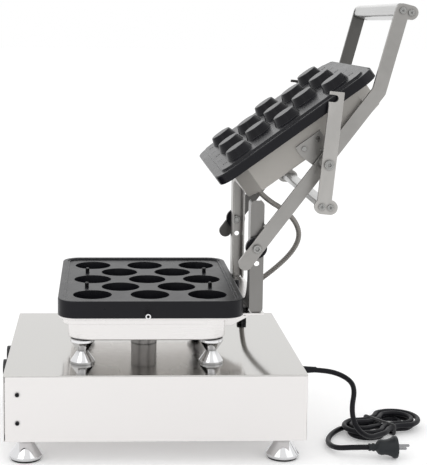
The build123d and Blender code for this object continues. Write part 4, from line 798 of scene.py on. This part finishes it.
class PIE_MAKER_OT_cord(bpy.types.Operator):
    """Lays the supply cord as one curve, with its hank, tie and strain relief"""

    bl_idname = "pie_maker.cord"
    bl_label = "Supply cord"

    def execute(self, context):
        sizes = settings("pie_maker_cord")
        # The rubber's edges take a slightly lighter painted highlight
        rubber = finish(
            "Cord rubber", settings("pie_maker_finish").cord, dark=0.7, metallic=0.0,
            roughness=0.42, grain=0.2, stretch=(500.0, 500.0, 500.0), patches=0.4,
            patch_scale=30.0, pits=0.6, pit_scale=1400.0, bump=0.15, specular=0.2,
            edge_highlight_colour=(0.02, 0.02, 0.022),
        )
        hank = hank_points()
        way = (hank[1] - hank[0]).normalized()
        points = [Vector(place) for place in RUN_POINTS]
        points.append(hank[0] - way * HANK_LEAD_IN)
        points += hank
        points.append(hank[-1] - way * HANK_LEAD_OUT)
        points += [Vector(place) for place in TAIL_POINTS]
        cord = spline_object("supply_cord", points, sizes.diameter / 2)
        settle(cord, "base", rubber)
        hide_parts("cord_run", "cord_hank", "cord_tail")
        length = line_length(curve_line(cord))
        plug, pins = make_plug()
        tie = make_tie()
        make_boot(rubber)
        return {"FINISHED"}


def turned(name, rings, place, tilt=(0.0, 0.0, 0.0), sides=40):
    """A turned piece: a disc extruded and scaled ring by ring, then set at its place."""
    deselect()
    radius, height = rings[0]
    bpy.ops.mesh.primitive_circle_add(
        vertices=sides, radius=radius, fill_type="NGON", location=(0, 0, 0), enter_editmode=True
    )
    for next_radius, next_height in rings[1:]:
        rise = (0, 0, next_height - height)
        bpy.ops.mesh.extrude_region_move(TRANSFORM_OT_translate={"value": rise})
        share = next_radius / radius
        bpy.ops.transform.resize(
            value=(share, share, 1), center_override=(0, 0, next_height - rings[0][1])
        )
        radius, height = next_radius, next_height
    bpy.ops.mesh.select_all(action="SELECT")
    bpy.ops.mesh.normals_make_consistent(inside=False)
    bpy.ops.object.mode_set(mode="OBJECT")
    piece = bpy.context.active_object
    piece.name = name
    piece.location = place
    piece.rotation_euler = tilt
    apply_place(piece)
    smooth(piece)
    return piece


def apply_place(piece):
    """Moves the piece's place and turn into its mesh."""
    deselect()
    piece.select_set(True)
    bpy.context.view_layer.objects.active = piece
    bpy.ops.object.transform_apply(location=True, rotation=True, scale=True)
    piece.select_set(False)


def apply_modifiers(piece):
    """Applies the piece's modifiers from the top down."""
    deselect()
    piece.select_set(True)
    bpy.context.view_layer.objects.active = piece
    for name in [modifier.name for modifier in piece.modifiers]:
        bpy.ops.object.modifier_apply(modifier=name)
    piece.select_set(False)


def smooth(piece, angle=35):
    """Smooth shading up to an angle between faces."""
    deselect()
    bpy.context.view_layer.objects.active = piece
    piece.select_set(True)
    bpy.ops.object.shade_smooth_by_angle(angle=math.radians(angle))
    piece.select_set(False)


def make_boot(rubber):
    """The slim strain relief where the cord leaves the cabinet."""
    length = settings("pie_maker_cord").boot
    rings = [
        (0.0048, 0.0), (0.0074, 0.0), (0.0074, 0.0022), (0.0068, 0.003), (0.0064, 0.008),
        (0.0058, 0.016), (0.0053, 0.024), (0.0051, length - 0.0006), (0.0047, length),
    ]
    boot = turned(
        "cord_boot", rings, Vector(CORD_EXIT) - Vector((0, 0.001, 0)), (-math.pi / 2, 0, 0)
    )
    settle(boot, "base", rubber)


def make_tie():
    """The flat band round the hank's waist."""
    across = 2 * (HANK_OUTER - HANK_WAIST + TIE_OFF)
    top = HANK_HIGH + TIE_OFF
    deselect()
    bpy.ops.mesh.primitive_cube_add(size=1.0, location=(0, 0, 0))
    tie = bpy.context.active_object
    tie.name = "hank_tie"
    tie.scale = (TIE_WIDTH, across, top - TIE_FLOOR_GAP)
    apply_place(tie)
    tie.select_set(True)
    bpy.ops.object.mode_set(mode="EDIT")
    bpy.ops.mesh.select_all(action="DESELECT")
    bpy.ops.object.mode_set(mode="OBJECT")
    for edge in tie.data.edges:
        first, second = (tie.data.vertices[index].co for index in edge.vertices)
        edge.select = abs((first - second).x) > TIE_WIDTH / 2
    bpy.ops.object.mode_set(mode="EDIT")
    bpy.ops.mesh.select_mode(type="EDGE")
    bpy.ops.mesh.bevel(offset=TIE_CORNER, segments=5)
    bpy.ops.mesh.select_all(action="DESELECT")
    bpy.ops.mesh.select_mode(type="FACE")
    bpy.ops.object.mode_set(mode="OBJECT")
    for face in tie.data.polygons:
        face.select = abs(face.normal.x) > 0.9
    bpy.ops.object.mode_set(mode="EDIT")
    bpy.ops.mesh.delete(type="FACE")
    bpy.ops.mesh.select_mode(type="VERT")
    bpy.ops.object.mode_set(mode="OBJECT")
    tie.location = at_hank(0.0, 0.0, (top + TIE_FLOOR_GAP) / 2)
    tie.rotation_euler = (0, 0, HANK_ANGLE)
    apply_place(tie)
    wall = tie.modifiers.new("wall", "SOLIDIFY")
    wall.thickness = TIE_WALL
    rim = tie.modifiers.new("rim", "BEVEL")
    rim.width = TIE_RIM
    rim.segments = 2
    apply_modifiers(tie)
    smooth(tie)
    plastic = finish(
        "Tie plastic", (0.02, 0.02, 0.022), metallic=0.0, roughness=0.35, grain=0.0,
        patches=0.3, patch_scale=90.0, pits=0.3, bump=0.1,
    )
    settle(tie, "base", plastic)
    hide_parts("cord_tie")
    return tie


def make_plug():
    """The moulded plug: a boot that flares into a grip, and its pins."""
    rubber = finish(
        "Plug rubber", (0.014, 0.017, 0.02), dark=0.7, metallic=0.0, roughness=0.45,
        grain=0.0, patches=0.4, patch_scale=60.0, pits=0.8, pit_scale=1100.0, bump=0.2,
        specular=0.35,
    )
    rings = [
        (0.0050, 0.0), (0.0062, 0.0004), (0.0064, 0.003), (0.0056, 0.004), (0.0056, 0.006),
        (0.0068, 0.007), (0.0069, 0.0095), (0.0060, 0.0105), (0.0060, 0.0125), (0.0082, 0.014),
        (0.0118, 0.017), (0.0132, 0.021), (0.0126, 0.0265), (0.0134, 0.0325), (0.0160, 0.0395),
        (0.0182, 0.0415), (0.0188, 0.0430), (0.0188, 0.0465), (0.0180, 0.0478), (0.0170, 0.0478),
    ]
    plug = turned("plug_moulding", rings, PLUG_REAR, (-math.pi / 2, 0, 0), sides=48)
    settle(plug, "base", rubber)
    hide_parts("plug_body")
    pins = finish(
        "Pin metal", (0.32, 0.32, 0.33), roughness=0.2, grain=0.1,
        stretch=(300.0, 20.0, 300.0), patches=0.2, bump=0.03,
    )
    dress(pins, "plug_pins")
    return plug, NODES["plug_pins"]


def lay_along(piece, path):
    """Bends a straight upright piece along the path, with each ring square to it."""
    marks = [0.0]
    ways = []
    for first, second in zip(path, path[1:]):
        marks.append(marks[-1] + (second - first).length)
        ways.append((second - first).normalized())
    ways.append(ways[-1])
    sides = [ways[0].orthogonal().normalized()]
    for before, after in zip(ways, ways[1:]):
        side = before.rotation_difference(after) @ sides[-1]
        sides.append((side - side.dot(after) * after).normalized())
    for vertex in piece.data.vertices:
        height = min(max(vertex.co.z, 0.0), marks[-1])
        index = min(bisect_right(marks, height), len(marks) - 1)
        share = (height - marks[index - 1]) / (marks[index] - marks[index - 1])
        way = ways[index - 1].lerp(ways[index], share).normalized()
        side = sides[index - 1].lerp(sides[index], share)
        side = (side - side.dot(way) * way).normalized()
        middle = path[index - 1].lerp(path[index], share)
        vertex.co = middle + vertex.co.x * side + vertex.co.y * way.cross(side)


def make_hose(length, diameter):
    """The straight upright hose: one rib extruded ring by ring, repeated along its length."""
    pitch = length / CONDUIT_RIBS
    crest = diameter / 2
    root = RIB_ROOT * crest
    deselect()
    bpy.ops.mesh.primitive_circle_add(
        vertices=HOSE_SIDES, radius=root, location=(0, 0, 0), enter_editmode=True
    )
    # An unfilled circle has no face to select, so the extrusion starts from its vertices
    bpy.ops.mesh.select_mode(type="VERT")
    bpy.ops.mesh.select_all(action="SELECT")
    height = 0.0
    for before, after, share in (
        (root, root, RIB_VALLEY),
        (root, crest, RIB_SLOPE),
        (crest, crest, RIB_CREST),
        (crest, root, RIB_SLOPE),
    ):
        height += share * pitch
        bpy.ops.mesh.extrude_region_move(TRANSFORM_OT_translate={"value": (0, 0, share * pitch)})
        bpy.ops.transform.resize(
            value=(after / before, after / before, 1), center_override=(0, 0, height)
        )
    bpy.ops.object.mode_set(mode="OBJECT")
    hose = bpy.context.active_object
    hose.name = "ribbed_conduit"
    ribs = hose.modifiers.new("ribs", "ARRAY")
    ribs.count = CONDUIT_RIBS
    ribs.use_relative_offset = False
    ribs.use_constant_offset = True
    ribs.constant_offset_displace = (0, 0, pitch)
    ribs.use_merge_vertices = True
    ribs.merge_threshold = RIB_MERGE
    apply_modifiers(hose)
    return hose


def close_ends(piece):
    """Fills the open ends of a tube and turns all its faces outwards."""
    piece.select_set(True)
    bpy.ops.object.mode_set(mode="EDIT")
    bpy.ops.mesh.select_all(action="SELECT")
    bpy.ops.mesh.fill_holes(sides=0)
    bpy.ops.mesh.select_all(action="SELECT")
    bpy.ops.mesh.normals_make_consistent(inside=False)
    bpy.ops.object.mode_set(mode="OBJECT")


class PIE_MAKER_OT_conduit(bpy.types.Operator):
    """Adds the ribbed metal hose between cabinet and head"""

    bl_idname = "pie_maker.conduit"
    bl_label = "Conduit"

    def execute(self, context):
        diameter = settings("pie_maker_cord").conduit
        # The ribs take a painted highlight on their edges and painted shade in their valleys
        metal = finish(
            "Conduit steel", (0.30, 0.285, 0.265), dark=0.6, metallic=0.7, roughness=0.32,
            grain=0.2, stretch=(400.0, 400.0, 400.0), patches=0.4, patch_scale=40.0, bump=0.05,
            edge_highlight_gain=0.6, corner_shade=0.9,
        )
        route = spline_object("conduit_route", CONDUIT_ROUTE, 0.0)
        route.data.resolution_u = ROUTE_STEPS
        path = curve_line(route)
        bpy.data.objects.remove(route)
        length = line_length(path)
        hose = make_hose(length, diameter)
        lay_along(hose, path)
        close_ends(hose)
        smooth(hose, angle=60)
        hose.data.materials.append(metal)
        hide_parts("flexible_conduit")
        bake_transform(hose)
        return {"FINISHED"}


# Stage


def seen_rays(tree):
    """One for camera, glossy and transmission rays, else nothing."""
    path = tree.nodes.new("ShaderNodeLightPath")
    sharp = math_node(
        tree, "MAXIMUM", path.outputs["Is Glossy Ray"], path.outputs["Is Transmission Ray"]
    )
    return math_node(tree, "MAXIMUM", path.outputs["Is Camera Ray"], sharp)


def add_floor(paper_level):
    """The white floor, which glows only where it is seen and keeps the machine's shadow."""
    deselect()
    bpy.ops.mesh.primitive_plane_add(size=FLOOR_SIZE, location=(0, 0, -FLOOR_DROP))
    floor = bpy.context.active_object
    floor.name = "studio_floor"
    paper = bpy.data.materials.new("White paper")
    paper.use_nodes = True
    tree = paper.node_tree
    shade = tree.nodes["Principled BSDF"]
    shade.inputs["Base Color"].default_value = (PAPER_GREY, PAPER_GREY, PAPER_GREY, 1.0)
    shade.inputs["Roughness"].default_value = 0.9
    shade.inputs["Specular IOR Level"].default_value = 0.1
    shade.inputs["Emission Color"].default_value = (1.0, 1.0, 1.0, 1.0)
    glow = math_node(tree, "MULTIPLY", seen_rays(tree), paper_level)
    tree.links.new(glow, shade.inputs["Emission Strength"])
    floor.data.materials.append(paper)


def add_sky(sky_level):
    """The sky: plain white where it is seen, and bands of grey as light."""
    world = bpy.data.worlds.new("Studio sky")
    bpy.context.scene.world = world
    world.use_nodes = True
    tree = world.node_tree
    link = tree.links.new
    light = tree.nodes["Background"]
    light.inputs["Strength"].default_value = sky_level
    direction = tree.nodes.new("ShaderNodeTexCoord")
    split = tree.nodes.new("ShaderNodeSeparateXYZ")
    link(direction.outputs["Generated"], split.inputs["Vector"])
    height = math_node(tree, "MULTIPLY_ADD", split.outputs["Z"], 0.5)
    height.node.inputs[2].default_value = 0.5
    ramp = tree.nodes.new("ShaderNodeValToRGB")
    bands = ramp.color_ramp.elements
    for place, _ in SKY_BANDS[1:-1]:
        bands.new(place)
    for band, (place, colour) in zip(bands, SKY_BANDS):
        band.position = place
        band.color = (*colour, 1.0)
    link(height, ramp.inputs["Fac"])
    link(ramp.outputs["Color"], light.inputs["Color"])
    white = tree.nodes.new("ShaderNodeBackground")
    white.inputs["Color"].default_value = (1.0, 1.0, 1.0, 1.0)
    mixer = tree.nodes.new("ShaderNodeMixShader")
    link(seen_rays(tree), mixer.inputs["Fac"])
    link(light.outputs["Background"], mixer.inputs[1])
    link(white.outputs["Background"], mixer.inputs[2])
    link(mixer.outputs["Shader"], tree.nodes["World Output"].inputs["Surface"])


def add_lamps(lamp_power):
    """The area lamps, all aimed at the machine."""
    for name, place, size, share in LAMPS:
        lamp = bpy.data.lights.new(name, "AREA")
        lamp.size = size
        lamp.energy = lamp_power * share
        holder = bpy.data.objects.new(name, lamp)
        holder.location = place
        aim = LAMP_AIM - Vector(place)
        holder.rotation_euler = aim.to_track_quat("-Z", "Y").to_euler()
        bpy.context.scene.collection.objects.link(holder)


def add_camera():
    """The camera, placed where the photograph was taken from."""
    camera = bpy.data.cameras.new("Photo camera")
    camera.sensor_width = CAMERA_SENSOR
    camera.sensor_fit = "AUTO"
    camera.lens = CAMERA_LENS
    camera.shift_x, camera.shift_y = CAMERA_SHIFT
    camera.clip_end = CAMERA_FAR
    holder = bpy.data.objects.new("Photo camera", camera)
    bpy.context.scene.collection.objects.link(holder)
    across, level = math.sin(CAMERA_YAW), math.cos(CAMERA_YAW)
    flat = math.cos(CAMERA_PITCH)
    ahead = Vector((-level * flat, across * flat, -math.sin(CAMERA_PITCH)))
    right = Vector((across, level, 0.0))
    up = right.cross(ahead)
    rolled_right = math.cos(CAMERA_ROLL) * right + math.sin(CAMERA_ROLL) * up
    rolled_up = math.cos(CAMERA_ROLL) * up - math.sin(CAMERA_ROLL) * right
    turn = Matrix((rolled_right, rolled_up, -ahead)).transposed().to_4x4()
    holder.matrix_world = Matrix.Translation(CAMERA_PLACE) @ turn
    bpy.context.scene.camera = holder


class PIE_MAKER_OT_stage(bpy.types.Operator):
    """Adds the floor, the sky, the lamps and the camera"""

    bl_idname = "pie_maker.stage"
    bl_label = "Stage"

    def execute(self, context):
        level = settings("pie_maker_stage")
        context.scene.view_settings.view_transform = "Standard"
        add_floor(level.paper)
        add_sky(level.sky)
        add_lamps(level.lamp)
        add_camera()
        return {"FINISHED"}


class PIE_MAKER_PT_panel(bpy.types.Panel):
    """Lists the steps in the 3D view's sidebar"""

    bl_idname = "PIE_MAKER_PT_panel"
    bl_label = "Pie maker"
    bl_space_type = "VIEW_3D"
    bl_region_type = "UI"
    bl_category = "Pie maker"

    def draw(self, context):
        for group in ("pie_maker_finish", "pie_maker_cord", "pie_maker_stage"):
            block = getattr(context.scene, group)
            for name in block.__annotations__:
                self.layout.prop(block, name)
        for step in STEPS:
            self.layout.operator(step.bl_idname)


STEPS = (
    PIE_MAKER_OT_stage,
    PIE_MAKER_OT_cabinet,
    PIE_MAKER_OT_housings,
    PIE_MAKER_OT_bars,
    PIE_MAKER_OT_hardware,
    PIE_MAKER_OT_castings,
    PIE_MAKER_OT_fittings,
    PIE_MAKER_OT_cord,
    PIE_MAKER_OT_conduit,
)
GROUPS = (
    ("pie_maker_finish", FinishSettings),
    ("pie_maker_cord", CordSettings),
    ("pie_maker_stage", StageSettings),
)


def register():
    """Registers the settings, the steps and the panel."""
    for name, kind in GROUPS:
        bpy.utils.register_class(kind)
        setattr(bpy.types.Scene, name, PointerProperty(type=kind))
    for kind in (*STEPS, PIE_MAKER_PT_panel):
        bpy.utils.register_class(kind)


def unregister():
    """Takes the panel, the steps and the settings out again."""
    for kind in (PIE_MAKER_PT_panel, *reversed(STEPS)):
        bpy.utils.unregister_class(kind)
    for name, kind in reversed(GROUPS):
        delattr(bpy.types.Scene, name)
        bpy.utils.unregister_class(kind)


def main():
    """Dresses the model in order."""
    register()
    worn_surface_group()
    edge_light_group()
    bpy.ops.pie_maker.stage()
    bpy.ops.pie_maker.cabinet()
    bpy.ops.pie_maker.housings()
    bpy.ops.pie_maker.bars()
    bpy.ops.pie_maker.hardware()
    bpy.ops.pie_maker.castings()
    bpy.ops.pie_maker.fittings()
    bpy.ops.pie_maker.cord()
    bpy.ops.pie_maker.conduit()


if __name__ == "__main__":
    main()
